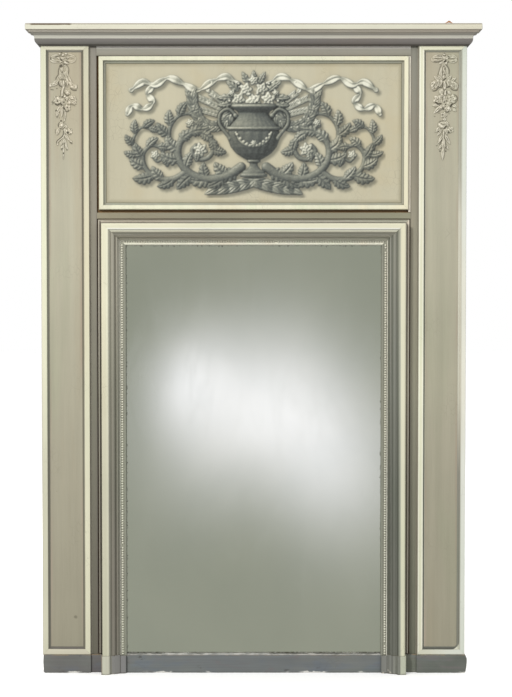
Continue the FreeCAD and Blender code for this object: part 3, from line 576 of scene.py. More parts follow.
def mat_pearl(name, inner_fillet):
    g = Graph(name)
    side = g.m("SUBTRACT", 470.0, g.ax)
    top = g.m("DIVIDE", g.m("SUBTRACT", 1527.0, g.z), 0.933)
    w = g.m("MINIMUM", side, top)
    # painted light: the fillets are painted near white against the shade the moulding casts on them, and the top
    # channel is painted dark as shade
    if name.endswith("top"):
        stops = [(-0.5, lin((238, 236, 218))), (2.6, lin((188, 187, 170))), (6.2, lin((140, 139, 125))), (9.8, lin((214, 212, 194))),
                 (13.4, lin((252, 250, 232))), (17.4, inner_fillet)]
    else:
        stops = [(-0.5, lin((246, 244, 228))), (3.3, lin((162, 162, 146))), (15.4, inner_fillet)]
    col = g.zones(w, -0.5, 23.0, stops, wob=0.15)
    pearl = g.remap(g.h, 50.2, 51.6)
    mid = g.band(w, 3.4, 15.3, 0.2)
    if name.endswith("top"):
        # the pearls are painted darker on their upper side, as shade under the moulding (painted shade)
        bead = g.mix(g.remap(w, 8.5, 12.5), lin((178, 176, 160)), lin((246, 244, 226)))
    else:
        bead = lin((226, 224, 206))
    col = g.mix(g.m("MULTIPLY", pearl, mid), col, bead)
    return finish_paint(g, col, shade_and_dirt=0.5, ao_reach=0.006, wear=(224, 220, 198), wear_amount=0.5, edge=0.0006, cloud=0.05, streak=0.03,
                        shade_and_dirt_colour=(66, 64, 54))


def mat_sill():
    g = Graph("paint_sill")
    n = g.noise(g.stretch(26, 60, 60), 1.0, 4.0, 0.6)
    col = g.mix(g.remap(n, 0.35, 0.65), lin((146, 147, 141)), lin((200, 199, 192)))
    # black gaps in runs where the fillet has shrunk away from the glass
    gap = g.m("MULTIPLY", g.remap(g.noise(g.stretch(9, 40, 40), 1.0, 4.0, 0.6), 0.50, 0.58), g.remap(g.z, 65.6, 67.0))
    col = g.mix(g.m("MULTIPLY", gap, 0.75), col, lin((58, 58, 52)))
    return finish_paint(g, col, grain="x", shade_and_dirt=0.45, shade_and_dirt_colour=(60, 60, 54))


def mat_cornice():
    g = Graph("paint_cornice")
    # Below the cream fascia the crown is one grey, painted in lighter and darker bands as light falls on its curves
    # (painted light and shade), with a dark line at its foot painted as shadow
    col = g.zones(g.z, 2190.0, 2275.0, [
        (2190, lin((112, 108, 106))), (2199.0, lin((84, 81, 76))), (2204.4, lin((124, 120, 116))), (2223.6, lin((198, 196, 184))),
        (2234.0, lin((154, 151, 142))), (2240.0, lin((188, 184, 173))), (2243.4, lin((190, 184, 172))), (2249.2, lin((206, 200, 186))),
        (2252.6, lin((219, 217, 198))), (2268.2, lin((176, 170, 154)))], wob=0.25)
    # a run of lost paint along the top edge, near the left end
    wob = g.m("MULTIPLY", g.noise(g.stretch(30, 30, 60), 1.0, 4.0), 5.0)
    lost = g.m("MULTIPLY", g.band(g.x, -772.0, -632.0, 6.0),
               g.remap(g.m("ADD", g.z, wob), 2267.2, 2268.6))
    lost = g.m("MULTIPLY", lost, g.remap(g.z, 2273.0, 2271.0))
    col = g.mix(g.m("MULTIPLY", lost, 0.85), col, lin((104, 90, 70)))
    return finish_paint(g, col, grain="x", shade_and_dirt=0.3, wear=(178, 164, 138), wear_amount=0.6)


def mat_top_board():
    g = Graph("top_board")
    paint = lin((178, 172, 156))
    lost = g.m("MULTIPLY", g.band(g.x, -772.0, -632.0, 6.0), 0.9)
    paint = g.mix(lost, paint, lin((104, 90, 70)))
    wood, hgt = pine_colour(g, "x", 0.9)
    sep = g.node("ShaderNodeSeparateXYZ")
    g.put(sep.inputs[0], g.TN)
    up = g.remap(sep.outputs[2], 0.4, 0.6)
    back = g.remap(sep.outputs[1], 0.4, 0.6)
    bare = g.m("MAXIMUM", up, back)
    dust = g.mix(g.remap(g.noise(g.P, 7.0, 4.0), 0.3, 0.7, 0.35, 0.75), wood, lin((168, 160, 144)))
    col = g.mix(bare, paint, dust)
    principled(g, col, 0.8, bump(g, hgt, 0.3, 0.0006), spec=0.2)
    return g.mat


def mat_iron(name, colour, metal=0.75):
    g = Graph(name)
    n = g.noise(g.P, 140.0, 5.0, 0.65)
    rust = g.remap(g.noise(g.P, 60.0, 4.0), 0.42, 0.62)
    col = g.mix(g.m("MULTIPLY", rust, 0.75), colour, lin((96, 58, 36)))
    col = g.scale_colour(col, g.remap(n, 0.2, 0.8, 0.75, 1.2))
    principled(g, col, g.remap(n, 0.2, 0.8, 0.45, 0.75), bump(g, n, 0.4, 0.0005),
               metallic=g.m("MULTIPLY", g.m("SUBTRACT", 1.0, rust), metal))
    return g.mat


def mat_mirror():
    g = Graph("old_mirror")
    # faint haze, wiping marks, and worn silvering close to the frame
    haze = g.noise(g.P, 1.7, 4.0, 0.55, 0.2)
    wipe = g.noise(g.stretch(9, 9, 3.0), 1.0, 5.0, 0.6, 1.2)
    side = g.m("SUBTRACT", 447.5, g.ax)
    top = g.m("SUBTRACT", 1506.0, g.z)
    low = g.m("SUBTRACT", g.z, 69.0)
    rim = g.m("MINIMUM", g.m("MINIMUM", side, top), low)
    fox = g.noise(g.P, 95.0, 6.0, 0.7)
    near = g.remap(rim, 0.0, 14.0, 0.30, 0.0)
    spots = g.remap(g.m("ADD", fox, near), 0.80, 0.9)
    tiny = g.voronoi(g.P, 60.0)
    pick = g.node("ShaderNodeSeparateColor")
    g.put(pick.inputs[0], tiny.outputs["Color"])
    pin = g.m("MULTIPLY", g.remap(tiny.outputs["Distance"], 0.05, 0.09, 1.0, 0.0), g.remap(pick.outputs[1], 0.93, 0.95))
    spots = g.m("MAXIMUM", spots, g.m("MULTIPLY", pin, 0.5))
    col = g.mix(g.remap(haze, 0.3, 0.7), lin((222, 226, 214)), lin((214, 219, 208)))
    col = g.mix(g.m("MULTIPLY", spots, 0.7), col, lin((92, 88, 74)))
    r = g.m("ADD", g.remap(wipe, 0.3, 0.75, 0.03, 0.075), g.m("MULTIPLY", spots, 0.4))
    wave = g.noise(g.P, 2.2, 1.0)
    b = principled(g, col, r, bump(g, wave, 0.25, 0.0012), metallic=g.m("SUBTRACT", 1.0, g.m("MULTIPLY", spots, 0.8)))
    b.inputs["Coat Weight"].default_value = 0.25
    b.inputs["Coat Roughness"].default_value = 0.05
    return g.mat


# ======================================================================
# reliefs: a height field drawn from strokes, leaves and flowers
# ======================================================================
def blur(a, sigma):
    """Gaussian blur by way of the spectrum, with a reflected border."""
    pad = int(sigma * 4) + 2
    b = np.pad(a, pad, mode="edge")
    fy = np.fft.fftfreq(b.shape[0])[:, None]
    fx = np.fft.rfftfreq(b.shape[1])[None, :]
    k = np.exp(-2 * (math.pi * sigma) ** 2 * (fx ** 2 + fy ** 2))
    c = np.fft.irfft2(np.fft.rfft2(b) * k, s=b.shape)
    return c[pad:-pad, pad:-pad]


def smooth_path(pts, n=48, occluded_shade=False):
    """Points along a Catmull-Rom curve."""
    p = np.asarray(pts, float)
    if occluded_shade:
        p = np.vstack([p[-1], p, p[0], p[1]])
    else:
        p = np.vstack([2 * p[0] - p[1], p, 2 * p[-1] - p[-2]])
    out = []
    segs = len(p) - 3
    per = max(4, n // segs)
    for i in range(segs):
        a, b, c, d = p[i], p[i + 1], p[i + 2], p[i + 3]
        for t in np.linspace(0, 1, per, endpoint=False):
            out.append(0.5 * ((2 * b) + (c - a) * t + (2 * a - 5 * b + 4 * c - d) * t * t
                              + (3 * b - a - 3 * c + d) * t ** 3))
    out.append(p[-2])
    return np.array(out)


def arc_path(p, angle, length, bend=0.0, n=22):
    """A path that starts at p towards angle (degrees) and turns by bend."""
    t = np.linspace(0, 1, n)
    a = np.radians(angle + bend * t)
    d = np.stack([np.cos(a), np.sin(a)], 1) * (length / (n - 1))
    q = np.vstack([[0, 0], np.cumsum(d[:-1], 0)])
    return np.asarray(p, float) + q


class Relief:
    def __init__(self, u0, u1, v0, v1, step):
        self.step = step
        self.u = np.arange(u0, u1 + step * 0.5, step)
        self.v = np.arange(v0, v1 + step * 0.5, step)
        self.H = np.zeros((len(self.v), len(self.u)))
        self.T = np.zeros_like(self.H)
        self.M = np.zeros_like(self.H)
        # D holds painted shade for holes and cut lines, L holds painted highlights
        self.D = np.zeros_like(self.H)
        self.L = np.zeros_like(self.H)

    def window(self, lo, hi):
        s = self.step
        i0 = max(0, int((lo[0] - self.u[0]) / s))
        i1 = min(len(self.u), int((hi[0] - self.u[0]) / s) + 2)
        j0 = max(0, int((lo[1] - self.v[0]) / s))
        j1 = min(len(self.v), int((hi[1] - self.v[0]) / s) + 2)
        if i1 <= i0 or j1 <= j0:
            return None
        sl = (slice(j0, j1), slice(i0, i1))
        return sl, self.u[None, i0:i1] + 0 * self.v[j0:j1, None], self.v[j0:j1, None] + 0 * self.u[None, i0:i1]

    def lay(self, sl, h, tone, base=0.0):
        top = base + h
        on = (h > 0) & (top > self.H[sl])
        self.H[sl] = np.where(on, top, self.H[sl])
        self.T[sl] = np.where(on, tone, self.T[sl])
        self.M[sl] = np.where(h > 0, 1.0, self.M[sl])

    def along(self, path, reach):
        """Share of the way along the path and signed offset from it."""
        p = np.asarray(path, float)
        win = self.window(p.min(0) - reach, p.max(0) + reach)
        if win is None:
            return None
        sl, U, V = win
        seg = p[1:] - p[:-1]
        ln = np.maximum(np.hypot(seg[:, 0], seg[:, 1]), 1e-9)
        cum = np.concatenate([[0], np.cumsum(ln)])
        best = np.full(U.shape, 1e18)
        s = np.zeros(U.shape)
        d = np.zeros(U.shape)
        for i in range(len(seg)):
            qx, qy = U - p[i, 0], V - p[i, 1]
            t = np.clip((qx * seg[i, 0] + qy * seg[i, 1]) / ln[i] ** 2, 0, 1)
            rx, ry = qx - t * seg[i, 0], qy - t * seg[i, 1]
            r2 = rx * rx + ry * ry
            m = r2 < best
            best = np.where(m, r2, best)
            s = np.where(m, (cum[i] + t * ln[i]) / cum[-1], s)
            side = np.where(seg[i, 0] * qy - seg[i, 1] * qx >= 0, 1.0, -1.0)
            d = np.where(m, side * np.sqrt(r2), d)
        return sl, s, d, cum[-1]

    def spot(self, c, rx, ry, angle):
        r = max(rx, ry) + 1
        win = self.window((c[0] - r, c[1] - r), (c[0] + r, c[1] + r))
        if win is None:
            return None, None
        sl, U, V = win
        a = math.radians(angle)
        x = (U - c[0]) * math.cos(a) + (V - c[1]) * math.sin(a)
        y = -(U - c[0]) * math.sin(a) + (V - c[1]) * math.cos(a)
        return sl, np.clip(1 - (x / rx) ** 2 - (y / ry) ** 2, 0, 1)

    def hole(self, c, rx, ry, amount=1.0, angle=0.0):
        sl, k = self.spot(c, rx, ry, angle)
        if sl is not None:
            self.D[sl] = np.maximum(self.D[sl], amount * np.clip(k * 2.2, 0, 1))

    def painted_highlight(self, c, rx, ry, amount=1.0, angle=0.0):
        sl, k = self.spot(c, rx, ry, angle)
        if sl is not None:
            self.L[sl] = np.maximum(self.L[sl], amount * np.clip(k * 1.8, 0, 1))

    def groove(self, path, r, amount=1.0):
        got = self.along(path, r + 1)
        if got is not None:
            sl, s, d, _ = got
            ends = np.clip(np.minimum(s, 1 - s) * 7 + 0.35, 0, 1)
            k = np.clip(1 - (d / (r * (0.55 + 0.45 * ends))) ** 2, 0, 1)
            self.D[sl] = np.maximum(self.D[sl], amount * np.clip(k * 2.0, 0, 1) * ends)

    def tube(self, path, r, height=None, tone=0.6, base=0.0, taper=(1.0, 1.0)):
        got = self.along(path, r + 2)
        if got is None:
            return
        sl, s, d, _ = got
        w = r * (taper[0] + (taper[1] - taper[0]) * s)
        k = np.clip(1 - (d / np.maximum(w, 1e-6)) ** 2, 0, None)
        h = (height if height is not None else r) * np.sqrt(k) * (w / r)
        self.lay(sl, np.where(k > 0, h, 0), tone, base)

    def leaf(self, p, angle, length, width, bend=0.0, height=4.0, tone=0.75, base=0.0, lobes=0, vein=1.0):
        got = self.along(arc_path(p, angle, length, bend), width + 2)
        if got is None:
            return
        sl, s, d, _ = got
        w = width * np.sin(np.pi * np.clip(s, 0, 1) ** 0.72) ** 0.75
        if lobes:
            w = w * (0.66 + 0.34 * np.abs(np.sin(np.pi * (s * lobes + 0.15))) ** 0.6)
        a = np.abs(d) / np.maximum(w, 1e-6)
        inside = (a < 1) & (s > 0.002) & (s < 0.998)
        round_ = np.sqrt(np.clip(1 - a ** 2.6, 0, 1))
        mid = 1 - 0.42 * np.exp(-(a / 0.13) ** 2) * vein
        ribs = 1.0
        if lobes:
            ribs = 1 - 0.26 * np.clip(np.sin(2 * np.pi * (s * lobes - a * 0.55)), 0, 1) * np.clip(a * 2, 0, 1)
        lift = 0.45 + 0.55 * np.sin(np.pi * np.clip(s * 0.9 + 0.08, 0, 1))
        self.lay(sl, np.where(inside, height * round_ * mid * ribs * lift + 0.25, 0), tone, base)

    def blob(self, c, rx, ry, height, tone=0.7, base=0.0, angle=0.0, power=2.0):
        r = max(rx, ry) + 2
        win = self.window((c[0] - r, c[1] - r), (c[0] + r, c[1] + r))
        if win is None:
            return
        sl, U, V = win
        a = math.radians(angle)
        x = (U - c[0]) * math.cos(a) + (V - c[1]) * math.sin(a)
        y = -(U - c[0]) * math.sin(a) + (V - c[1]) * math.cos(a)
        k = 1 - (np.abs(x) / rx) ** power - (np.abs(y) / ry) ** power
        self.lay(sl, np.where(k > 0, height * np.sqrt(np.clip(k, 0, 1)), 0), tone, base)

    def flower(self, c, R, height, petals=5, turn=0.0, tone=0.85, base=0.0, rings=3):
        win = self.window((c[0] - R - 2, c[1] - R - 2), (c[0] + R + 2, c[1] + R + 2))
        if win is None:
            return
        sl, U, V = win
        x, y = U - c[0], V - c[1]
        r, th = np.hypot(x, y), np.arctan2(y, x)
        for k in range(rings):
            Rk = R * (1.0, 0.66, 0.36)[k]
            n = petals if k < 2 else 3
            ph = turn + k * math.pi / n
            cell = np.cos(n * (th + ph))
            edge = Rk * (0.84 + 0.16 * cell)
            q = r / edge
            cup = 0.34 + 0.66 * np.sin(np.clip(q, 0, 1) * math.pi * 0.62)
            notch = 1 - 0.45 * np.exp(-((1 + cell) / 0.22)) * np.clip(q * 1.4 - 0.3, 0, 1)
            lip = np.sqrt(np.clip(1 - q ** 7, 0, 1))
            hk = height * (0.62, 0.84, 1.0)[k] * cup * notch * lip
            self.lay(sl, np.where(q < 1, hk, 0), tone * (0.92 + 0.08 * k), base)
        self.blob(c, R * 0.13, R * 0.13, height * 0.95, tone * 0.7, base)

    def ribbon(self, path, width, height=3.0, folds=3.0, phase=0.0, tone=0.85, base=0.0, pinch=0.45):
        got = self.along(path, width + 2)
        if got is None:
            return
        sl, s, d, _ = got
        turn = np.abs(np.cos(math.pi * (folds * s + phase)))
        w = width * (pinch + (1 - pinch) * turn)
        a = np.abs(d) / np.maximum(w, 1e-6)
        wave = 0.5 + 0.5 * np.sin(2 * math.pi * (folds * s + phase) + 0.8)
        edge = 0.75 + 0.25 * np.clip(a * 1.2, 0, 1)
        crease = 1 - 0.18 * np.exp(-((d / width - 0.15) / 0.12) ** 2)
        lip = np.sqrt(np.clip(1 - a ** 8, 0, 1))
        h = height * (0.45 + 0.55 * wave) * edge * crease * lip
        self.lay(sl, np.where((a < 1), h + 0.2, 0), tone * (0.80 + 0.28 * wave), base)


# ---------------------------------------------------------- carved drop
def accents(R, holes=(), grooves=(), highlight_spots=()):
    """Drilled holes and cut lines, sunk into the carving and painted dark as shade, and high places painted light as
    highlights, in millimetres.
    """
    for u, v, rx, ry, amount, angle in holes:
        R.hole((u, v), rx, ry, amount, angle)
    for r, amount, pts in grooves:
        R.groove(smooth_path(pts, 24) if len(pts) > 2 else pts, r, amount)
    for u, v, rx, ry, amount, angle in highlight_spots:
        R.painted_highlight((u, v), rx, ry, amount, angle)


def drop_right(R, k):
    # the tied ribbon: two folded loops and a knot
    R.ribbon(smooth_path([(-2, -22), (-14, -15), (-28, -13), (-39, -17), (-40, -24), (-30, -28), (-14, -28), (-3, -25)], 70), 6.4, 4.6 * k, 3.0, 0.15, pinch=0.7)
    R.ribbon(smooth_path([(4, -22), (16, -14), (30, -13), (40, -18), (40, -26), (30, -30), (16, -28), (5, -24)], 70), 6.2, 4.4 * k, 3.0, 0.05, pinch=0.7)
    R.leaf((0, -18), 158, 25, 6.5, 12, 4.8 * k)
    R.leaf((3, -18), 24, 25, 6.5, -12, 4.8 * k)
    R.blob((1, -19), 7.4, 7.0, 6.2 * k, power=2.4)
    R.blob((0, -6), 5.0, 4.4, 4.8 * k)
    R.leaf((-2, -30), 205, 19, 5.0, 0, 5.4 * k)
    R.blob((6, -36), 5.0, 4.8, 6.4 * k)
    accents(R,
            [(15, -32, 3.4, 2.8, 0.85, 0), (0, -2, 3.2, 2.6, 0.7, 0), (46, -22, 2.0, 4.2, 0.5, 0), (-8, -27, 3.0, 2.6, 0.8, 0)],
            [(2.0, 0.65, [(-26, -10), (-16, -12), (-8, -11)]), (2.2, 0.85, [(-38, -31), (-24, -32), (-8, -29)]), (2.0, 0.65, [(10, -9), (15, -14), (17, -21)]),
             (3.0, 1.0, [(7, -26), (3, -30), (0, -34)]), (1.8, 0.5, [(25, -33), (38, -30)]), (1.8, 0.5, [(-34, -20), (-18, -21)]), (1.8, 0.5, [(20, -21), (34, -22)])],
            [(6, -36, 3.6, 3.4, 1.0, 0), (-12, -36, 5.0, 2.6, 0.85, 10), (-16, -16, 7.0, 2.4, 0.6, -8), (26, -16, 7.0, 2.6, 0.65, 8), (39, -25, 4.0, 3.4, 0.55, 0),
             (8, -20, 3.4, 3.4, 0.75, 0), (-36, -16, 4.0, 3.0, 0.5, 0), (-4, -15, 3.0, 3.0, 0.6, 0), (2, -8, 3.0, 2.0, 0.6, 0)])
    # the oval loop with a bud inside
    R.ribbon(smooth_path([(-1, -38), (-9, -46), (-13, -58), (-13.5, -72), (-9, -86), (0, -93), (8, -86), (12, -72), (11.5, -56), (6, -45), (-1, -38)], 90),
             4.8, 4.8 * k, 3.0, 0.2, pinch=0.9)
    R.leaf((0, -90), 90, 44, 6.6, 0, 3.6 * k, lobes=3)
    accents(R,
            [(2, -56, 2.6, 5.2, 0.65, 0), (-5, -67, 2.6, 4.8, 0.75, 0), (0, -76, 2.8, 3.2, 0.65, 0)],
            [(2.2, 0.62, [(-9, -42), (-15, -52), (-19, -66), (-24, -80)]), (2.4, 0.75, [(4, -41), (12, -49), (17, -61), (16, -77)]),
             (2.8, 0.92, [(-6, -97), (-1, -94), (7, -88)])],
            [(-11.5, -61, 2.6, 11.0, 0.55, 0), (8.5, -62, 2.6, 12.0, 0.60, 0), (-3, -83, 3.0, 4.6, 0.55, 0), (-2, -52, 2.2, 4.0, 0.5, 0)])
    # broad curled leaves that reach the edges of the panel
    R.tube(smooth_path([(-4, -98), (-18, -98), (-32, -105), (-41, -116)], 20), 11.5, 3.6 * k, taper=(0.8, 1.0))
    R.leaf((-10, -96), 118, 22, 6.4, 20, 4.8 * k)
    R.leaf((-20, -96), 130, 22, 6.4, 14, 4.8 * k)
    R.leaf((-12, -94), 262, 27, 7.4, -10, 5.4 * k)
    R.leaf((-20, -95), 252, 32, 8.0, -6, 5.8 * k)
    R.leaf((-28, -99), 240, 34, 8.0, 4, 6.0 * k)
    R.leaf((-30, -101), 208, 24, 7.0, 10, 5.6 * k)
    R.tube(smooth_path([(6, -98), (20, -99), (32, -107), (41, -116)], 20), 11.5, 3.6 * k, taper=(0.8, 0.9))
    R.leaf((12, -96), 60, 22, 6.4, -20, 4.8 * k)
    R.leaf((24, -100), 42, 22, 6.0, -14, 4.8 * k)
    R.leaf((12, -94), -76, 27, 7.2, 8, 5.4 * k)
    R.leaf((20, -97), -66, 30, 8.0, 8, 5.8 * k)
    R.leaf((28, -100), -52, 33, 8.0, 14, 6.0 * k)
    R.leaf((32, -108), -26, 22, 6.4, 30, 5.6 * k)
    R.leaf((2, -128), 94, 32, 5.6, -4, 6.4 * k)
    accents(R,
            [(17, -118, 3.6, 3.4, 1.0, 0), (-43, -99, 2.4, 4.0, 0.35, 0)],
            [(2.4, 0.92, [(-4, -106), (-7, -119), (-18, -121), (-25, -127), (-31, -132), (-42, -133)]), (2.6, 0.95, [(7, -120), (17, -119)]),
             (2.4, 0.90, [(21, -122), (30, -129), (42, -131), (48, -126)]), (1.6, 0.55, [(-15, -98), (-20, -112)]), (1.6, 0.5, [(-26, -102), (-36, -118)]),
             (1.6, 0.5, [(17, -100), (22, -112)]), (1.6, 0.5, [(28, -106), (38, -116)])],
            [(-11, -99, 4.0, 5.0, 0.65, 0), (-23, -96, 5.0, 4.0, 0.65, -20), (-35, -104, 5.0, 4.0, 0.70, -40), (-44, -114, 3.6, 4.6, 0.80, 0),
             (-29, -119, 5.0, 3.6, 0.70, 20), (-37, -127, 4.6, 3.2, 0.85, 10), (-20, -110, 4.0, 5.0, 0.45, 0), (15, -96, 4.0, 4.4, 0.6, 0), (29, -103, 5.0, 3.2, 0.6, -30),
             (25, -115, 4.4, 3.6, 0.7, 0), (36, -112, 5.0, 2.2, 0.65, -30), (40, -123, 5.0, 3.0, 0.75, 5), (46, -117, 2.6, 3.4, 0.7, 0),
             (0, -104, 2.6, 4.4, 0.85, 0), (2, -122, 3.0, 5.0, 1.0, 0)])
    # small leaves and a bud under them
    R.blob((-9, -136), 10.5, 10.5, 4.6 * k)
    R.leaf((0, -132), 208, 20, 6.0, 24, 5.0 * k)
    R.leaf((0, -148), 192, 18, 5.4, -16, 5.0 * k)
    R.leaf((2, -150), 84, 22, 5.0, 0, 5.8 * k)
    R.leaf((10, -134), -30, 18, 5.4, -22, 4.6 * k)
    accents(R,
            [(9, -137, 2.6, 4.8, 0.95, 0), (-8, -137, 2.4, 2.4, 0.5, 0), (-18, -145, 3.0, 2.0, 0.4, 0)],
            [(1.6, 0.5, [(-1, -130), (-2, -142)])],
            [(3, -142, 2.6, 4.6, 0.95, 0), (-9, -129, 5.0, 2.6, 0.5, 0), (-9, -145, 4.0, 2.6, 0.8, 0), (-15, -137, 2.4, 3.6, 0.5, 0), (16, -138, 4.0, 3.0, 0.45, 0)])
    # the cluster
    R.blob((2, -170), 34.0, 20.0, 3.4 * k, power=2.6)
    R.flower((-22, -163), 18.0, 6.6 * k, 5, 0.2)
    R.flower((27, -161), 18.0, 6.6 * k, 5, 1.1)
    R.leaf((0, -176), 92, 28, 6.0, 0, 6.4 * k)
    R.leaf((-6, -184), 217, 42, 8.6, 8, 6.2 * k)
    R.leaf((-16, -180), 192, 26, 6.4, -10, 5.4 * k)
    R.leaf((28, -182), -16, 19, 6.2, -24, 5.2 * k)
    R.leaf((30, -194), -44, 16, 5.4, 20, 4.8 * k)
    R.flower((14, -193), 14.0, 6.8 * k, 5, 0.6)
    R.flower((-1, -217), 12.0, 5.4 * k, 5, 0.0)
    R.leaf((2, -226), 264, 16, 5.4, 8, 4.8 * k)
    accents(R,
            [(23, -155, 2.8, 2.8, 0.7, 0), (-22, -163, 3.0, 2.4, 0.65, 0), (0, -172, 3.2, 2.6, 0.9, 0), (9, -168, 3.2, 2.6, 0.85, 0), (5, -180, 3.0, 2.6, 0.95, 0),
             (-3, -195, 4.4, 4.4, 1.0, 0), (23, -187, 4.0, 3.6, 1.0, 0), (-31, -191, 3.2, 3.4, 0.5, 0), (-18, -210, 3.2, 2.4, 0.6, 0), (-33, -221, 3.6, 2.4, 0.55, 0),
             (-5, -216, 2.8, 3.0, 0.8, 0), (17, -211, 2.6, 3.4, 0.5, 0), (12, -158, 2.4, 5.0, 0.5, 0)],
            [(2.4, 0.78, [(34, -143), (44, -152), (46, -163), (40, -173), (31, -180)]), (3.0, 1.0, [(-32, -171), (-21, -178), (-8, -177)]),
             (1.6, 0.6, [(-4, -151), (-5, -166)]), (3.4, 1.0, [(21, -189), (26, -181), (32, -177)]), (2.4, 0.92, [(3, -203), (10, -207), (18, -204)]),
             (1.6, 0.55, [(-10, -192), (-24, -208)])],
            [(18, -150, 3.6, 3.0, 0.75, 0), (30, -149, 3.6, 3.0, 0.7, 0), (36, -160, 3.0, 4.6, 0.75, 0), (28, -169, 4.4, 2.8, 0.75, 0), (18, -165, 2.6, 3.0, 0.6, 0),
             (-29, -153, 4.4, 3.2, 0.8, 0), (-16, -154, 3.4, 3.2, 0.75, 0), (-35, -165, 3.0, 3.6, 0.8, 0), (-25, -170, 4.4, 2.4, 0.75, 0), (-11, -168, 2.8, 3.0, 0.6, 0),
             (0, -154, 2.6, 3.6, 0.95, 0), (3, -163, 2.4, 3.2, 0.85, 0), (13, -175, 3.0, 2.8, 0.85, 0), (-3, -185, 3.6, 2.6, 0.75, 0), (15, -193, 5.0, 4.6, 1.0, 0),
             (-13, -190, 6.0, 2.8, 0.85, 45), (-25, -203, 6.6, 3.0, 0.95, 42), (-33, -212, 4.0, 3.0, 0.75, 40), (38, -188, 4.0, 2.6, 0.6, -20), (38, -204, 3.6, 2.4, 0.5, 0),
             (-8, -206, 3.4, 2.4, 0.7, 0), (6, -209, 3.2, 2.6, 0.75, 0), (4, -222, 3.2, 2.4, 0.7, 0), (-11, -218, 2.4, 3.0, 0.5, 0), (4, -232, 3.0, 4.0, 0.55, 0)])
    # lower flowers
    R.blob((-6, -250), 16.0, 14.0, 5.8 * k, power=2.3)
    R.leaf((4, -238), -58, 26, 5.4, 14, 5.0 * k)
    R.flower((22, -268), 12.0, 6.0 * k, 5, 0.5)
    R.leaf((-14, -260), 222, 22, 7.0, 10, 5.0 * k)
    R.leaf((-10, -266), 246, 28, 5.4, -16, 4.8 * k)
    R.leaf((6, -258), -84, 28, 6.4, 6, 5.6 * k)
    accents(R,
            [(24, -270, 2.6, 2.6, 0.8, 0), (17, -278, 3.6, 3.4, 1.0, 0), (-20, -275, 3.6, 2.4, 0.6, 0), (-31, -277, 2.6, 3.2, 0.4, 0), (17, -251, 2.0, 4.4, 0.6, 0)],
            [(2.2, 0.78, [(-19, -243), (-11, -238), (-1, -237)]), (1.8, 0.6, [(-13, -245), (-5, -250), (3, -249)]), (2.8, 1.0, [(1, -265), (4, -260), (8, -256)]),
             (1.5, 0.5, [(-5, -268), (-6, -292)])],
            [(-16, -250, 4.0, 3.6, 0.8, 0), (-9, -256, 5.4, 3.4, 0.95, -20), (-1, -258, 3.2, 2.6, 0.7, 0), (4, -243, 3.4, 2.4, 0.6, 0), (-8, -242, 4.0, 1.8, 0.45, 10),
             (15, -266, 3.2, 3.4, 0.95, 0), (25, -261, 4.4, 2.6, 0.8, 0), (29, -277, 3.4, 2.6, 0.8, 0), (12, -252, 2.0, 4.4, 0.6, 0), (-23, -265, 4.0, 2.8, 0.8, 20),
             (7, -269, 2.6, 4.0, 0.6, 0), (-15, -283, 2.4, 4.0, 0.5, 0)])
    # the tail
    R.tube(smooth_path([(1, -268), (-3, -290), (-1, -318)], 14), 3.2, 4.8 * k)
    R.leaf((-5, -286), 244, 36, 6.0, -8, 5.2 * k)
    R.leaf((3, -284), -66, 40, 6.0, 10, 5.2 * k)
    R.leaf((-2, -296), 269, 50, 7.6, 0, 6.2 * k)
    R.leaf((-4, -316), 238, 26, 4.6, -16, 4.6 * k)
    R.leaf((3, -316), -66, 26, 4.6, 20, 4.6 * k)
    R.leaf((-4, -334), 268, 40, 6.2, 0, 5.6 * k)
    accents(R,
            [(-25, -323, 3.6, 2.8, 0.6, 0), (-14, -342, 3.4, 3.2, 1.0, 0), (6, -342, 3.4, 3.2, 1.0, 0)],
            [(2.0, 0.8, [(-7, -302), (-11, -311), (-16, -321)]), (1.7, 0.55, [(9, -294), (14, -308)]), (1.8, 0.7, [(5, -311), (7.5, -324), (7, -337)])],
            [(-15, -304, 2.8, 6.4, 0.95, -20), (12, -299, 2.6, 6.4, 0.7, 30), (20, -314, 2.4, 5.0, 0.55, 30), (-3, -313, 2.8, 9.0, 0.7, 0), (-4, -336, 2.6, 9.0, 0.6, 0),
             (-5, -358, 2.4, 9.0, 0.8, 0)])


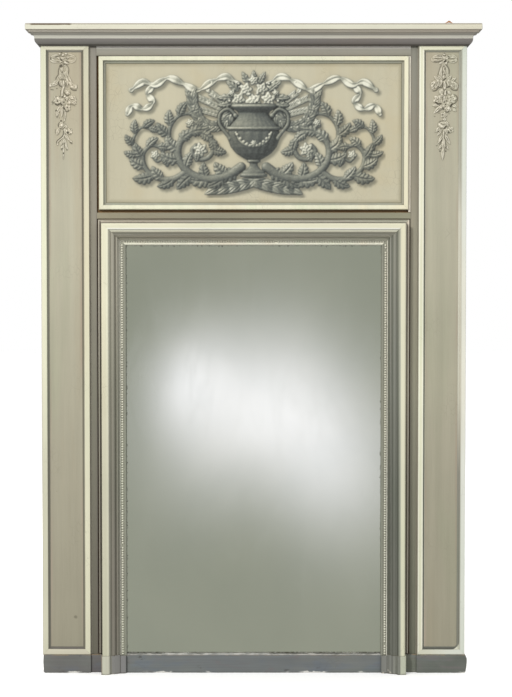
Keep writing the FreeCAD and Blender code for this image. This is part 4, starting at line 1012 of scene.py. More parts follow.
def drop_left(R, k):
    """Its fellow on the other pilaster is looser, on thin stems."""
    R.ribbon(smooth_path([(-3, -22), (-16, -13), (-29, -12), (-40, -16), (-41, -24), (-31, -30), (-14, -30), (-4, -26)], 70), 6.2, 4.4 * k, 3.0, 0.2, pinch=0.7)
    R.ribbon(smooth_path([(4, -22), (14, -14), (26, -11), (38, -14), (41, -23), (32, -30), (16, -29), (5, -25)], 70), 5.6, 3.6 * k, 3.0, 0.1, pinch=0.7)
    R.leaf((-2, -20), 160, 25, 6.5, 12, 4.6 * k)
    R.leaf((3, -20), 20, 22, 6.0, -12, 4.4 * k)
    R.blob((-2, -20), 7.4, 6.4, 6.2 * k, power=2.4)
    for a, b in ((0, -8), (-11, -4), (11, -3)):
        R.blob((a, b), 4.8, 4.4, 4.8 * k)
    R.leaf((2, -31), -22, 21, 4.8, 0, 6.4 * k)
    accents(R,
            [(-43, -20, 2.8, 6.4, 0.8, 0), (-5, 0, 3.8, 2.2, 0.8, 0), (12, -20, 3.6, 2.8, 0.6, 0)],
            [(2.6, 0.7, [(-28, -15), (-18, -13), (-7, -12)]), (2.6, 0.9, [(-10, -21), (-6, -25), (-2, -28)]), (2.2, 0.65, [(-22, -31), (-12, -33)]),
             (1.8, 0.5, [(6, -14), (18, -11), (28, -10)]), (2.0, 0.7, [(11, -31), (21, -33)]), (2.4, 0.85, [(-2, -38), (7, -41)]), (1.8, 0.4, [(26, -20), (38, -22)])],
            [(0, -8, 3.2, 3.0, 1.0, 0), (11, -3, 3.0, 2.6, 0.85, 0), (-11, -4, 2.6, 2.4, 0.7, 0), (-35, -22, 4.4, 3.2, 0.7, 0), (-16, -22, 5.0, 2.6, 0.6, 0),
             (21, -24, 3.4, 3.2, 0.95, 0), (34, -17, 4.4, 2.4, 0.4, 0), (10, -35.5, 8.0, 2.4, 1.0, -22), (-5, -33, 4.4, 2.0, 0.6, 0)])
    # the oval loop with a bud inside
    R.ribbon(smooth_path([(0, -39), (9, -44), (14.5, -56), (14, -72), (8, -86), (-1, -92), (-9, -85), (-12.5, -70), (-12, -56), (-7, -45), (0, -39)], 90),
             4.6, 4.6 * k, 3.0, 0.2, pinch=0.9)
    R.leaf((-2, -90), 92, 46, 7.4, 0, 3.6 * k, lobes=3)
    accents(R,
            [(-8, -46, 7.2, 6.0, 0.85, 40), (-3, -68, 3.0, 3.8, 0.7, 0)],
            [(2.6, 0.72, [(-12, -50), (-16, -62), (-17, -76), (-24, -86), (-26, -96)]), (2.0, 0.62, [(8, -40), (16, -47), (20, -58), (18, -74)]),
             (2.2, 0.75, [(-7, -92), (5, -93)])],
            [(-5, -57, 2.6, 5.0, 0.6, 0), (-8, -80, 3.0, 4.6, 0.65, 0), (8.5, -60, 2.8, 15.0, 0.55, 0), (-12, -96, 3.0, 3.0, 0.75, 0)])
    # wide ribbons that sweep out to both edges
    R.ribbon(smooth_path([(10, -72), (17, -90), (26, -106), (37, -117), (46, -118)], 50), 8.0, 4.6 * k, 2.0, 0.2, pinch=0.8)
    R.ribbon(smooth_path([(-15, -84), (-23, -99), (-34, -108), (-46, -113)], 40), 6.6, 4.4 * k, 1.5, 0.4, pinch=0.8)
    R.leaf((-18, -106), 196, 26, 6.0, 12, 4.4 * k)
    R.leaf((26, -118), -6, 24, 5.4, 14, 4.6 * k)
    R.leaf((-6, -96), 258, 27, 7.0, 10, 5.2 * k)
    R.leaf((10, -96), 284, 25, 6.4, -10, 5.2 * k)
    R.leaf((2, -126), 92, 32, 5.0, 0, 6.4 * k)
    accents(R,
            [(-22, -124, 3.6, 2.4, 0.7, 0), (13, -115, 2.6, 3.4, 0.6, 0)],
            [(2.4, 0.88, [(24, -122), (32, -129), (42, -131), (48, -129)]), (2.4, 0.65, [(-45, -127), (-33, -129)]), (2.8, 0.9, [(-16, -102), (-14, -111), (-8, -119)]),
             (2.2, 0.65, [(8, -103), (12, -113)]), (1.6, 0.4, [(14, -86), (24, -102)])],
            [(14, -92, 3.6, 8.0, 0.55, 25), (25, -106, 3.6, 8.0, 0.6, 35), (31, -118, 6.0, 2.8, 0.8, -10), (45, -118, 3.0, 4.6, 0.85, 0), (-33, -107, 6.4, 2.8, 0.6, 20),
             (-45, -113, 3.6, 3.0, 0.85, 0), (-28, -117, 5.0, 2.4, 0.5, 0), (3, -105, 2.2, 7.4, 1.0, 0), (-5, -108, 2.4, 4.6, 0.6, 0), (2, -121, 2.6, 4.4, 0.9, 0)])
    R.tube(smooth_path([(1, -122), (-3, -136), (-4, -152)], 12), 4.0, 5.0 * k)
    R.flower((15, -139), 11.5, 5.8 * k, 5, 0.4)
    R.blob((6, -152), 5.2, 4.8, 6.2 * k)
    accents(R,
            [(3, -139, 2.0, 3.8, 0.8, 0), (-3, -154, 3.0, 3.2, 0.95, 0), (-13, -152, 3.2, 2.8, 0.7, 0), (-25, -153, 3.2, 3.2, 0.65, 0)],
            [(1.8, 0.7, [(-9, -129), (-8.5, -150)]), (2.2, 0.85, [(5, -137), (8, -145), (16, -149), (22, -146)]), (1.8, 0.5, [(25, -135), (26, -143)])],
            [(-3, -136, 2.0, 8.4, 0.8, 0), (15, -139, 3.4, 3.0, 0.95, 0), (9, -133, 3.0, 2.4, 0.6, 0), (6, -152, 4.0, 3.6, 1.0, 0), (22, -134, 2.6, 2.6, 0.5, 0)])
    # the cluster
    R.blob((-10, -168), 22.0, 16.0, 3.2 * k, power=2.6)
    R.blob((24, -166), 24.0, 15.0, 3.0 * k, power=2.6, angle=-12)
    R.flower((-20, -163), 15.5, 6.6 * k, 5, 0.2)
    R.flower((-5, -171), 11.0, 6.2 * k, 5, 0.9)
    R.leaf((8, -155), -42, 32, 7.4, 8, 5.8 * k)
    R.leaf((20, -152), -20, 27, 7.0, -14, 5.2 * k)
    R.leaf((25, -166), -28, 26, 6.4, 6, 5.4 * k)
    R.leaf((34, -149), -66, 22, 5.4, 16, 4.8 * k)
    R.blob((-37, -173), 3.4, 7.4, 3.0 * k, angle=-15)
    accents(R,
            [(-20, -168, 2.8, 2.8, 0.95, 0), (-37, -173, 3.2, 7.0, 0.7, 15), (8, -164, 3.0, 3.0, 0.8, 0), (16, -168, 2.6, 3.0, 0.7, 0), (20, -161, 2.6, 2.6, 0.7, 0),
             (38, -158, 2.8, 2.8, 0.6, 0), (27, -179, 3.4, 2.6, 0.8, 0), (3, -172, 3.0, 3.0, 0.92, 0), (-9, -175, 3.0, 2.8, 0.85, 0)],
            [(3.0, 1.0, [(-30, -176), (-20, -182), (-12, -178), (-3, -182)]), (2.0, 0.6, [(30, -179), (42, -185)])],
            [(-19, -158, 4.6, 3.2, 1.0, 0), (-28, -166, 2.8, 3.6, 0.7, 0), (-12, -162, 3.0, 3.0, 0.8, 0), (-25, -173, 3.6, 2.6, 0.7, 0), (-13, -171, 3.0, 3.0, 0.8, 0),
             (-4, -164, 3.0, 3.4, 0.75, 0), (12, -156, 4.0, 3.0, 0.85, -30), (22, -172, 4.4, 4.2, 1.0, 0), (32, -158, 5.6, 2.8, 0.85, -20), (43, -166, 4.0, 3.0, 0.75, 0),
             (40, -151, 3.6, 2.6, 0.65, 0), (38, -177, 4.4, 2.4, 0.7, -30), (12, -178, 3.0, 2.6, 0.5, 0)])
    R.flower((15, -191), 12.5, 6.4 * k, 5, 0.6)
    R.leaf((-8, -186), 240, 34, 7.6, -8, 5.2 * k)
    R.leaf((-2, -184), 264, 40, 6.0, 2, 5.4 * k)
    R.leaf((-18, -204), 250, 22, 5.0, 18, 4.4 * k)
    R.tube(smooth_path([(4, -196), (7, -214), (4, -236)], 12), 2.8, 4.0 * k)
    accents(R,
            [(15, -190, 2.8, 2.8, 0.95, 0), (-25, -201, 3.6, 4.4, 0.9, 0), (-22, -223, 2.8, 5.4, 0.5, 0), (-14, -226, 2.0, 5.0, 0.4, 0)],
            [(2.2, 0.85, [(7, -202), (14, -205), (21, -201)]), (3.4, 1.0, [(1, -188), (5, -198)]), (1.7, 0.6, [(3, -206), (3, -232)])],
            [(11, -185, 3.4, 2.6, 0.8, 0), (21, -188, 3.0, 3.0, 0.75, 0), (22, -196, 3.0, 2.6, 0.7, 0), (9, -195, 2.6, 2.6, 0.7, 0), (-9, -205, 2.8, 8.0, 0.75, 0),
             (-6, -219, 2.2, 6.0, 0.55, 0), (-17, -211, 2.6, 5.0, 0.5, 0), (7, -215, 1.8, 9.0, 0.45, 0)])
    # lower flowers on their stems
    R.flower((-6, -251), 14.5, 6.0 * k, 5, 0.8)
    R.blob((-5, -252), 7.0, 7.0, 6.8 * k)
    R.leaf((2, -252), -30, 17, 5.2, -10, 4.6 * k)
    R.flower((22, -273), 11.5, 6.2 * k, 5, 0.5)
    R.leaf((-14, -262), 246, 27, 7.2, 8, 4.2 * k)
    R.leaf((5, -262), -72, 30, 5.8, 8, 4.8 * k)
    accents(R,
            [(-8, -237, 4.0, 3.6, 1.0, 0), (16, -278, 4.0, 4.8, 1.0, 0), (26, -266, 2.8, 2.6, 0.85, 0)],
            [(2.2, 0.85, [(-12, -241), (-17, -249), (-17, -258)]), (2.0, 0.7, [(0, -240), (4, -248)]), (1.8, 0.7, [(-13, -262), (-4, -266), (3, -262)]),
             (1.8, 0.55, [(20, -285), (29, -284)]), (1.8, 0.55, [(-28, -265), (-28, -281)]), (1.6, 0.4, [(-13, -266), (-13, -275)])],
            [(-5, -252, 5.0, 4.6, 1.0, 0), (-13, -246, 2.8, 3.0, 0.6, 0), (9, -261, 4.0, 2.4, 0.6, -20), (27, -277, 4.0, 3.6, 1.0, 0), (12, -271, 2.8, 6.0, 0.7, 0),
             (-20, -272, 3.0, 6.0, 0.55, 0), (-7, -261, 4.0, 2.0, 0.5, 0)])
    R.tube(smooth_path([(3, -266), (4, -282), (-3, -296), (-14, -304), (-21, -312), (-20, -320)], 24), 2.8, 4.2 * k)
    R.tube(smooth_path([(2, -276), (0, -300), (1, -330), (0, -368)], 24), 2.8, 4.4 * k, taper=(1.0, 0.6))
    R.leaf((5, -284), -54, 30, 5.0, 6, 4.6 * k)
    R.leaf((0, -298), -60, 30, 4.8, -8, 4.6 * k)
    R.leaf((-1, -300), 246, 26, 5.0, 10, 4.4 * k)
    R.blob((26, -309), 4.6, 4.0, 4.6 * k)
    R.leaf((2, -318), -46, 24, 4.2, -14, 4.2 * k)
    R.leaf((-1, -320), 244, 20, 4.2, 14, 4.2 * k)
    accents(R,
            [(12, -338, 3.6, 2.6, 0.75, -30), (-6, -336, 2.6, 4.4, 0.7, 0), (0, -350, 3.2, 3.0, 1.0, 0)],
            [(2.2, 0.9, [(0, -268), (1, -282), (-6, -293), (-16, -301), (-23, -309), (-23, -318)]), (2.4, 0.85, [(23, -309), (27, -315), (32, -316)]),
             (1.8, 0.7, [(2, -315), (5, -327)]), (1.5, 0.45, [(0, -360), (0, -372)])],
            [(5, -290, 2.2, 6.0, 0.55, 0), (-8, -314, 3.0, 5.0, 0.5, 30), (0, -311, 2.0, 7.4, 0.6, 0), (19, -302, 5.0, 2.2, 0.6, -30), (9, -321, 2.2, 5.0, 0.6, 30),
             (16, -332, 4.0, 2.2, 0.7, -30), (0, -342, 2.4, 3.4, 0.8, 0), (-9, -327, 2.2, 4.0, 0.5, 0)])


def carved_drop(side, seed, strength):
    """u runs across from the axis as seen from the front, v is down from the
    head, in millimetres.  Returns the height field with its painted highlights and its painted shade with grime."""
    R = Relief(-48, 48, -378, 1.5, 0.8)
    (drop_right if side == "right" else drop_left)(R, strength)
    rng = np.random.RandomState(seed)
    rough = blur(rng.normal(size=R.H.shape), 2.0)
    rough /= rough.std()
    # the carver's ground shows as separate masses: cut in where forms meet
    st = R.step
    cut = np.clip(blur(R.H, 1.6 / st) - R.H, 0, 2.0)
    soft = blur(R.H, 0.6)
    holes = np.clip(blur(R.D, 0.7 / st), 0, 1)
    painted_highlight = np.clip(blur(R.L, 0.8 / st), 0, 1)
    H = np.clip(soft * 0.55 + R.H * 0.45 - 0.9 * cut + 0.14 * rough - 2.4 * holes + 0.5 * painted_highlight, 0.0, 6.95)
    on = R.M > 0
    # a thin film of paint and dirt round the foot of the carving
    near = blur(R.M, 1.8 / st)
    film = ((near > 0.02) | (holes > 0.04)) & ~on
    full = np.where(on, np.maximum(H, 0.16), 0.0)
    broad = blur(np.where(on, full, 0.0), 3.4 / st)
    fine = blur(full, 1.3 / st)
    # painted highlights on the high places, and painted shade with grime in the hollows, in the holes and round the
    # foot on the panel
    relief = full - 0.55 * broad - 0.45 * fine
    highlight_and_rub = np.clip(relief / 1.5, 0, 1) * on * 0.62
    low = np.clip(-relief / 1.15, 0, 1)
    foot = np.clip(near * 1.7 - 0.10, 0, 1) * ~on
    shade_and_grime = np.clip(np.where(on, low * 0.65, foot * 0.60), 0, 0.95)
    highlight_and_rub = np.clip(np.maximum(highlight_and_rub, painted_highlight) * (1 - holes) * on, 0, 0.95)
    shade_and_grime = np.clip(np.maximum(shade_and_grime * (1 - 0.9 * painted_highlight), holes * 0.97), 0, 0.95)
    H = np.where(on, full, np.where(film, 0.12, 0.0))
    return R, H, highlight_and_rub, shade_and_grime


# ------------------------------------------------------ painted panel
TONES = np.array([0.0, 0.16, 0.34, 0.52, 0.70, 0.86, 1.0, 1.2])
PALETTE = np.array([(48, 50, 48), (70, 73, 71), (92, 96, 92), (118, 121, 112), (146, 148, 135),
                    (184, 184, 166), (214, 213, 195), (236, 235, 217)], float)
GROUND = np.array((199, 193, 168), float)


def spiral(c, r0, r1, a0, turns, n=60):
    t = np.linspace(0, 1, n)
    r = r0 + (r1 - r0) * t ** 0.8
    a = np.radians(a0 + 360 * turns * t)
    return np.stack([c[0] + r * np.cos(a), c[1] + r * np.sin(a)], 1)


def painted_field():
    """An urn of flowers between leaf scrolls and ribbons, in greys; u across
    from the axis and v up from the middle of the panel, in millimetres."""
    R = Relief(-462, 462, -226, 226, 1.25)
    for sg in (1, -1):
        f = lambda pts: [(sg * a, b) for a, b in pts]
        ang = lambda a: a if sg > 0 else 180 - a
        far = 1.0 if sg > 0 else 0.92
        # fluttering ribbon from the bouquet to the far end
        R.ribbon(smooth_path(f([(52, 168), (96, 196), (150, 176), (196, 150), (246, 172), (298, 192), (346, 168),
                                (386, 178), (428, 150)]), 120), 14.0, 11, 6.5, 0.15, 1.02, 0.0, 0.4)
        R.ribbon(smooth_path(f([(346, 168), (372, 138), (352, 108), (384, 84), (424, 96), (442, 66)]), 90),
                 13.0, 10, 5.0, 0.4, 1.0, 0.0, 0.4)
        R.ribbon(smooth_path(f([(150, 176), (160, 150), (140, 132), (158, 108)]), 40), 8.0, 7, 3.0, 0.1, 0.98, 0.0)
        # large scroll and the smaller one that leaves it
        big = [(44, -118), (96, -150), (164, -160), (226, -138), (262, -88), (258, -34), (218, 2), (168, -4),
               (140, -44), (158, -84), (196, -90), (216, -62), (202, -42)]
        R.tube(smooth_path(f(big), 150), 14.0, 13, 0.50, 2.0, (1.2, 0.5))
        small = [(232, -132), (282, -160), (336, -156), (378, -124), (388, -76), (362, -44), (328, -50), (316, -80),
                 (336, -98), (352, -84)]
        R.tube(smooth_path(f(small), 110), 10.5, 10, 0.52, 1.5, (1.1, 0.5))
        up = [(262, -84), (292, -34), (294, 16), (268, 56), (228, 68), (204, 48), (212, 22), (232, 24)]
        R.tube(smooth_path(f(up), 90), 9.0, 9, 0.52, 1.5, (1.0, 0.5))
        end = [(386, -104), (416, -66), (420, -18), (396, 18), (366, 16)]
        R.tube(smooth_path(f(end), 60), 7.5, 7, 0.54, 1.0, (1.0, 0.5))
        R.flower((sg * 186, -58), 27, 12, 6, 0.3, 0.86, 4)
        R.flower((sg * 345, -76), 18, 9, 5, 0.1, 0.86, 4)
        R.flower((sg * 222, 36), 16, 9, 5, 0.6, 0.84, 4)
        leaves = [  # place, direction, length, half width, bend, tone
            (58, -128, -40, 74, 17, 36, 0.62), (92, -148, 28, 62, 15, 40, 0.72), (104, -152, -52, 66, 15, 48, 0.55),
            (150, -160, -20, 78, 17, 46, 0.70), (164, -158, 58, 56, 13, 46, 0.66), (214, -144, -34, 72, 16, -20, 0.60),
            (238, -122, 96, 58, 13, 34, 0.74), (262, -92, -6, 66, 15, 54, 0.68), (262, -58, 22, 62, 15, 48, 0.76),
            (256, -30, 118, 60, 14, 58, 0.70), (226, -2, 150, 62, 14, 44, 0.64), (188, 2, 196, 56, 13, 50, 0.72),
            (150, -22, 236, 50, 12, 44, 0.60), (142, -56, 206, 46, 12, -30, 0.66), (198, -66, 260, 34, 9, 40, 0.7),
            (280, -158, -46, 62, 13, 44, 0.58), (318, -160, 32, 56, 13, 38, 0.72), (352, -148, -26, 70, 15, 40, 0.64),
            (382, -116, 8, 58, 13, 48, 0.72), (388, -84, 44, 54, 12, 38, 0.62), (372, -48, 120, 48, 11, 46, 0.74),
            (334, -48, 172, 44, 11, 40, 0.66), (316, -82, 232, 38, 10, 36, 0.6),
            (284, -50, 52, 48, 11, 40, 0.72), (296, -6, 24, 58, 13, 46, 0.62), (290, 28, 66, 52, 12, 44, 0.74),
            (260, 60, 96, 54, 12, 50, 0.66), (226, 68, 146, 48, 12, 40, 0.72), (204, 46, 210, 38, 10, 34, 0.62),
            (410, -76, -2, 44, 10, 36, 0.70), (420, -38, 30, 42, 10, 40, 0.62), (414, 0, 70, 46, 10, 44, 0.74),
            (384, 20, 128, 44, 10, 46, 0.64), (366, 18, 190, 34, 9, 30, 0.7),
        ]
        for a, b, c, ln, w, bd, tn in leaves:
            R.leaf((sg * a, b), ang(c), ln * 1.08, w * 1.55, sg * bd, 12.0, (tn * 0.86) * far, 2.5, lobes=5)
        # laurel swag from the vase to the scroll
        sw = smooth_path(f([(70, 86), (96, 44), (136, 26), (178, 40), (206, 84), (214, 120)]), 60)
        R.tube(sw, 3.0, 3, 0.5, 3.0)
        for i in range(2, len(sw) - 2, 3):
            t = sw[i + 1] - sw[i - 1]
            a = math.degrees(math.atan2(t[1], t[0]))
            for off in (38, -38):
                R.leaf(sw[i], a + off, 36, 10.5, -off * 0.5, 7.5, 0.44 + 0.20 * ((i // 3) % 2), 5.0)
            if i % 2:
                R.blob(sw[i] + (0, -6), 4.6, 4.6, 5, 0.9, 8.0)
        R.leaf((sg * 214, 118), ang(92), 46, 11, sg * 30, 7, 0.72, 3.0, lobes=4)
        R.leaf((sg * 212, 116), ang(40), 50, 11, sg * 40, 7, 0.64, 3.0, lobes=4)
        # sprays crossed under the foot
        st = smooth_path(f([(-26, -156), (30, -176), (90, -190), (150, -194)]), 40)
        R.tube(st, 2.6, 2.6, 0.5, 1.0)
        for i in range(4, len(st) - 1, 4):
            t = st[i + 1] - st[i - 1] if i + 1 < len(st) else st[i] - st[i - 1]
            a = math.degrees(math.atan2(t[1], t[0]))
            for off in (34, -34):
                R.leaf(st[i], a + off, 42, 12.0, -off * 0.5, 7.0, 0.42 + 0.26 * ((i // 4) % 2), 2.0)
        # reeds that fan out behind the vase
        for a, ln in ((24, 190), (37, 176), (50, 150)):
            p = arc_path((sg * 30, 30), ang(a), ln, sg * -14, 30)
            R.tube(p, 5.0, 5.0, 0.46, 0.5, (1.0, 0.6))
            for i in range(12, 29, 2):
                t = p[min(i + 1, 29)] - p[i - 1]
                q = math.degrees(math.atan2(t[1], t[0]))
                for off in (26, -26):
                    R.leaf(p[i], q + off, 26, 6.4, 0, 5.5, 0.74, 1.0)
    # vase: foot, stem, bowl with flutes, shoulder and lip
    prof = np.array([(-150, 46), (-142, 46), (-140, 40), (-132, 38), (-126, 24), (-116, 15), (-106, 13), (-100, 20), (-94, 22),
                     (-88, 34), (-70, 62), (-48, 80), (-22, 90), (0, 92), (10, 88), (12, 94), (22, 94), (24, 84), (44, 66),
                     (60, 54), (72, 52), (80, 64), (88, 76), (94, 78), (100, 76)], float)
    win = R.window((-100, -152), (100, 102))
    sl, U, V = win
    w = np.interp(V, prof[:, 0], prof[:, 1])
    q = np.clip(np.abs(U) / w, 0, 1.2)
    h = np.sqrt(np.clip(1 - q ** 2, 0, 1)) * w * 0.55
    ang_ = np.arcsin(np.clip(U / w, -1, 1))
    flute = np.where((V > -90) & (V < 6), 1 - 0.045 * (0.5 + 0.5 * np.cos(18 * ang_)), 1.0)
    flute = np.where((V > 26) & (V < 70), 1 - 0.02 * (0.5 + 0.5 * np.cos(26 * ang_)), flute)
    slope = np.interp(V, prof[:, 0], np.gradient(prof[:, 1], prof[:, 0]))
    R.lay(sl, np.where(q < 1, h * flute + 3, 0), 0.40 - 0.03 * np.clip(slope, -2, 2), 9.0)
    for v0, w0, t0 in ((17, 94, 0.56), (95, 78, 0.58), (-97, 22, 0.52), (-146, 46, 0.5)):
        for sgn in (1,):
            win = R.window((-w0, v0 - 5), (w0, v0 + 5))
            sl, U, V = win
            k = np.clip(1 - ((V - v0) / 4.6) ** 2, 0, 1)
            q = np.clip(np.abs(U) / w0, 0, 1)
            R.lay(sl, np.where(k > 0, np.sqrt(1 - q ** 2) * w0 * 0.55 + 3.5 * np.sqrt(k) + 2.5, 0), t0, 9.0)
    for sg in (1, -1):
        f = lambda pts: [(sg * a, b) for a, b in pts]
        R.tube(smooth_path(f([(62, 62), (88, 84), (116, 70), (120, 34), (100, 4), (84, -16)]), 60), 6.0, 7, 0.46, 30.0, (0.8, 1.1))
        R.blob((sg * 64, 62), 8, 8, 8, 0.55, 32.0)
        R.blob((sg * 84, -17), 8, 8, 8, 0.5, 30.0)
    # small swag on the bowl
    for sg in (1, -1):
        R.tube(smooth_path([(sg * 62, 2), (sg * 48, -26), (sg * 24, -42), (0, -46)], 30), 4.2, 5, 0.74, 52.0)
    for i in range(-5, 6):
        R.blob((i * 11.5, -44 + 0.028 * (i * 11.5) ** 2 / 2.4), 6.2, 6.2, 6, 0.72, 54.0)
    R.flower((0, -34), 12, 8, 6, 0.2, 0.86, 56.0)
    # bouquet
    for a, b, c, ln, w_, bd in ((-70, 120, 168, 58, 15, 20), (70, 120, 12, 58, 15, -20), (-52, 146, 136, 58, 14, 14),
                                (52, 146, 44, 58, 14, -14), (-20, 172, 112, 48, 13, 10), (20, 172, 68, 48, 13, -10),
                                (0, 176, 90, 44, 13, 0), (-78, 104, 196, 48, 13, -18), (78, 104, -16, 48, 13, 18),
                                (-34, 102, 230, 40, 12, 20), (34, 102, -50, 40, 12, -20)):
        R.leaf((a, b), c, ln, w_, bd, 9, 0.62, 12.0, lobes=4)
    for a, b, r, t, tn in ((-52, 118, 26, 0.2, 0.86), (52, 118, 27, 0.9, 0.90), (0, 112, 31, 0.5, 0.98), (-27, 152, 25, 1.2, 0.92),
                           (29, 154, 24, 0.1, 0.84), (0, 184, 19, 0.7, 0.88), (-76, 140, 14, 0.3, 0.8), (77, 140, 14, 0.8, 0.8)):
        R.flower((a, b), r, 13, 5, t, tn, 22.0)
    for a, b in ((-30, 92), (28, 90), (-84, 112), (86, 112), (-52, 172), (54, 172), (-14, 136), (14, 138)):
        R.blob((a, b), 5.5, 5.5, 6, 0.8, 30.0)
    return R


def painted_colours():
    R = painted_field()
    st = R.step
    H, T, M = R.H, R.T, R.M
    rng = np.random.RandomState(11)
    # the virtual relief is flattened, then lit from the upper left
    Hs = blur(H, 0.6)
    gv, gu = np.gradient(Hs, st)
    gu, gv = np.clip(gu, -2.2, 2.2), np.clip(gv, -2.2, 2.2)
    nl = np.sqrt(gu ** 2 + gv ** 2 + 1)
    L = np.array((-0.50, 0.52, 0.69))
    lam = np.clip((-gu * L[0] - gv * L[1] + L[2]) / nl, 0, 1) / L[2]
    hollow = np.clip(H - blur(H, 7.0 / st), -7, 7) / 7
    tone = T * (0.30 + 0.72 * lam ** 1.25) + 0.10 * hollow
    tone = tone + 0.12 * np.clip(lam - 1.15, 0, 1)
    # brushwork: short strokes that follow the form, and a dry drag
    n1 = blur(rng.normal(size=H.shape), 1.1)
    n1 /= n1.std()
    drag = rng.normal(size=H.shape)
    drag = blur(drag, 0.7) + np.roll(blur(drag, 0.7), 2, 1) + np.roll(blur(drag, 0.7), 4, 1)
    drag /= drag.std()
    tone = tone + 0.028 * n1 + 0.022 * drag
    # darker line at the overlaps
    rim = np.clip(np.abs(H - blur(H, 1.6)) - 1.2, 0, 5) / 5
    tone = np.where(H > blur(H, 1.6), tone, tone - 0.95 * rim)
    # a drawn outline where a form ends on the ground
    edge_in = np.clip(1.6 * (1 - blur(M, 1.5)) - 0.25, 0, 1)
    tone = tone - 0.42 * edge_in * (0.6 + 0.4 * np.clip(gu * 0.6 - gv * 0.6, -1, 1))
    tone = np.clip(tone, 0.0, 1.2)
    rgb = np.stack([np.interp(tone, TONES, PALETTE[:, k]) for k in range(3)], -1)
    # cast shadow on the ground, down and to the right
    dx, dy = int(round(9 / st)), int(round(10 / st))
    sh = np.zeros_like(M)
    sh[:-dy, dx:] = M[dy:, :-dx]
    sh = blur(sh, 3.2 / st) * 0.72 + blur(M, 9.0 / st) * 0.20
    sh = np.clip(sh, 0, 0.80)[..., None]
    ground = GROUND * (1 - sh) + np.array((122, 121, 108), float) * sh
    cover = np.clip(blur(M, 0.7), 0, 1)[..., None]
    cover = np.clip(cover * 1.25 - 0.12, 0, 1)
    out = ground * (1 - cover) + rgb * cover
    return R, out, cover[..., 0]


# ======================================================================
# meshes
# ======================================================================
def build(name, verts, faces, mats, smooth=True, face_mat=None):
    me = bpy.data.meshes.new(name)
    verts = np.asarray(verts, float)
    me.vertices.add(len(verts))
    me.vertices.foreach_set("co", verts.ravel())
    sizes = np.array([len(f) for f in faces], np.int32)
    flat = np.concatenate([np.asarray(f, np.int32) for f in faces]) if not isinstance(faces, np.ndarray) else faces.ravel()
    me.loops.add(int(sizes.sum()))
    me.loops.foreach_set("vertex_index", flat.astype(np.int32))
    me.polygons.add(len(sizes))
    start = np.concatenate([[0], np.cumsum(sizes)[:-1]]).astype(np.int32)
    me.polygons.foreach_set("loop_start", start)
    if face_mat is not None:
        me.polygons.foreach_set("material_index", np.asarray(face_mat, np.int32))
    me.polygons.foreach_set("use_smooth", np.broadcast_to(np.asarray(smooth, bool), (len(sizes),)).copy())
    me.update(calc_edges=True)
    me.validate()
    for m in mats:
        me.materials.append(m)
    ob = bpy.data.objects.new(name, me)
    bpy.context.scene.collection.objects.link(ob)
    return ob


def piece(ob, slot, *replaced):
    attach(ob, "root")
    if replaced:
        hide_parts(*replaced)
    return ob


def relief_mesh(name, R, H, tones, centre, top, mats, foot=40.0):
    """The height field as a carving that stands on the panel at h = foot."""
    nv, nu = H.shape
    U, V = np.meshgrid(R.u, R.v)
    hh = np.where(H > 0, foot + H, foot - 0.4)
    co = np.stack([(centre + U) * MM, (HALF - hh) * MM, (top + V) * MM], -1).reshape(-1, 3)
    on = H > 0
    cell = on[:-1, :-1] | on[1:, :-1] | on[:-1, 1:] | on[1:, 1:]
    idx = np.arange(nv * nu).reshape(nv, nu)
    a, b, c, d = idx[:-1, :-1][cell], idx[:-1, 1:][cell], idx[1:, 1:][cell], idx[1:, :-1][cell]
    quads = np.stack([a, b, c, d], 1)
    used = np.unique(quads)
    remap = np.full(nv * nu, -1)
    remap[used] = np.arange(len(used))
    ob = build(name, co[used], remap[quads], mats, True)
    at = ob.data.color_attributes.new("relief", "FLOAT_COLOR", "POINT")
    full = np.ones((len(used), 4), np.float32)
    for i, t in enumerate(tones):
        full[:, i] = t.reshape(-1)[used]
    full[:, 2] = 0.0
    at.data.foreach_set("color", full.ravel())
    return ob


def sweep(rings):
    """Faces over rings of the same length, closed round the section, with caps."""
    rings = np.asarray(rings, float)
    n, k = rings.shape[:2]
    verts = rings.reshape(-1, 3)
    faces = []
    for i in range(n - 1):
        for j in range(k):
            j2 = (j + 1) % k
            faces.append((i * k + j, i * k + j2, (i + 1) * k + j2, (i + 1) * k + j))
    faces.append(tuple(range(k))[::-1])
    faces.append(tuple((n - 1) * k + j for j in range(k)))
    return verts, faces


def dome(c, r, up, rows=4, cols=12):
    """A half ball whose pole points to the front; c is its middle, in mm."""
    verts, faces = [], []
    for i in range(rows):
        a = math.radians(90 * i / (rows - 0.35)) if i else 0
        a = math.pi / 2 - a
        # from the rim up to the pole
    verts.append((c[0], c[1] + up, c[2]))
    for i in range(1, rows + 1):
        t = i / rows * math.pi / 2 * 1.12
        rr, hh = r * math.sin(min(t, math.pi / 2)), up * math.cos(t)
        for j in range(cols):
            q = 2 * math.pi * j / cols
            verts.append((c[0] + rr * math.cos(q), c[1] + hh, c[2] + rr * math.sin(q)))
    for j in range(cols):
        faces.append((0, 1 + j, 1 + (j + 1) % cols))
    for i in range(rows - 1):
        for j in range(cols):
            a0 = 1 + i * cols + j
            a1 = 1 + i * cols + (j + 1) % cols
            faces.append((a0, a0 + cols, a1 + cols, a1))
    return verts, faces


PEARL_SECTION = [(0, 36), (0, 51.5), (0.5, 52), (2.6, 52), (3.2, 51.6), (3.8, 49.6), (8.7, 49.0), (14.8, 49.6), (15.4, 51.4),
                 (16.0, 52), (20.4, 52), (21.8, 51.4), (22.5, 49.8), (22.5, 36)]


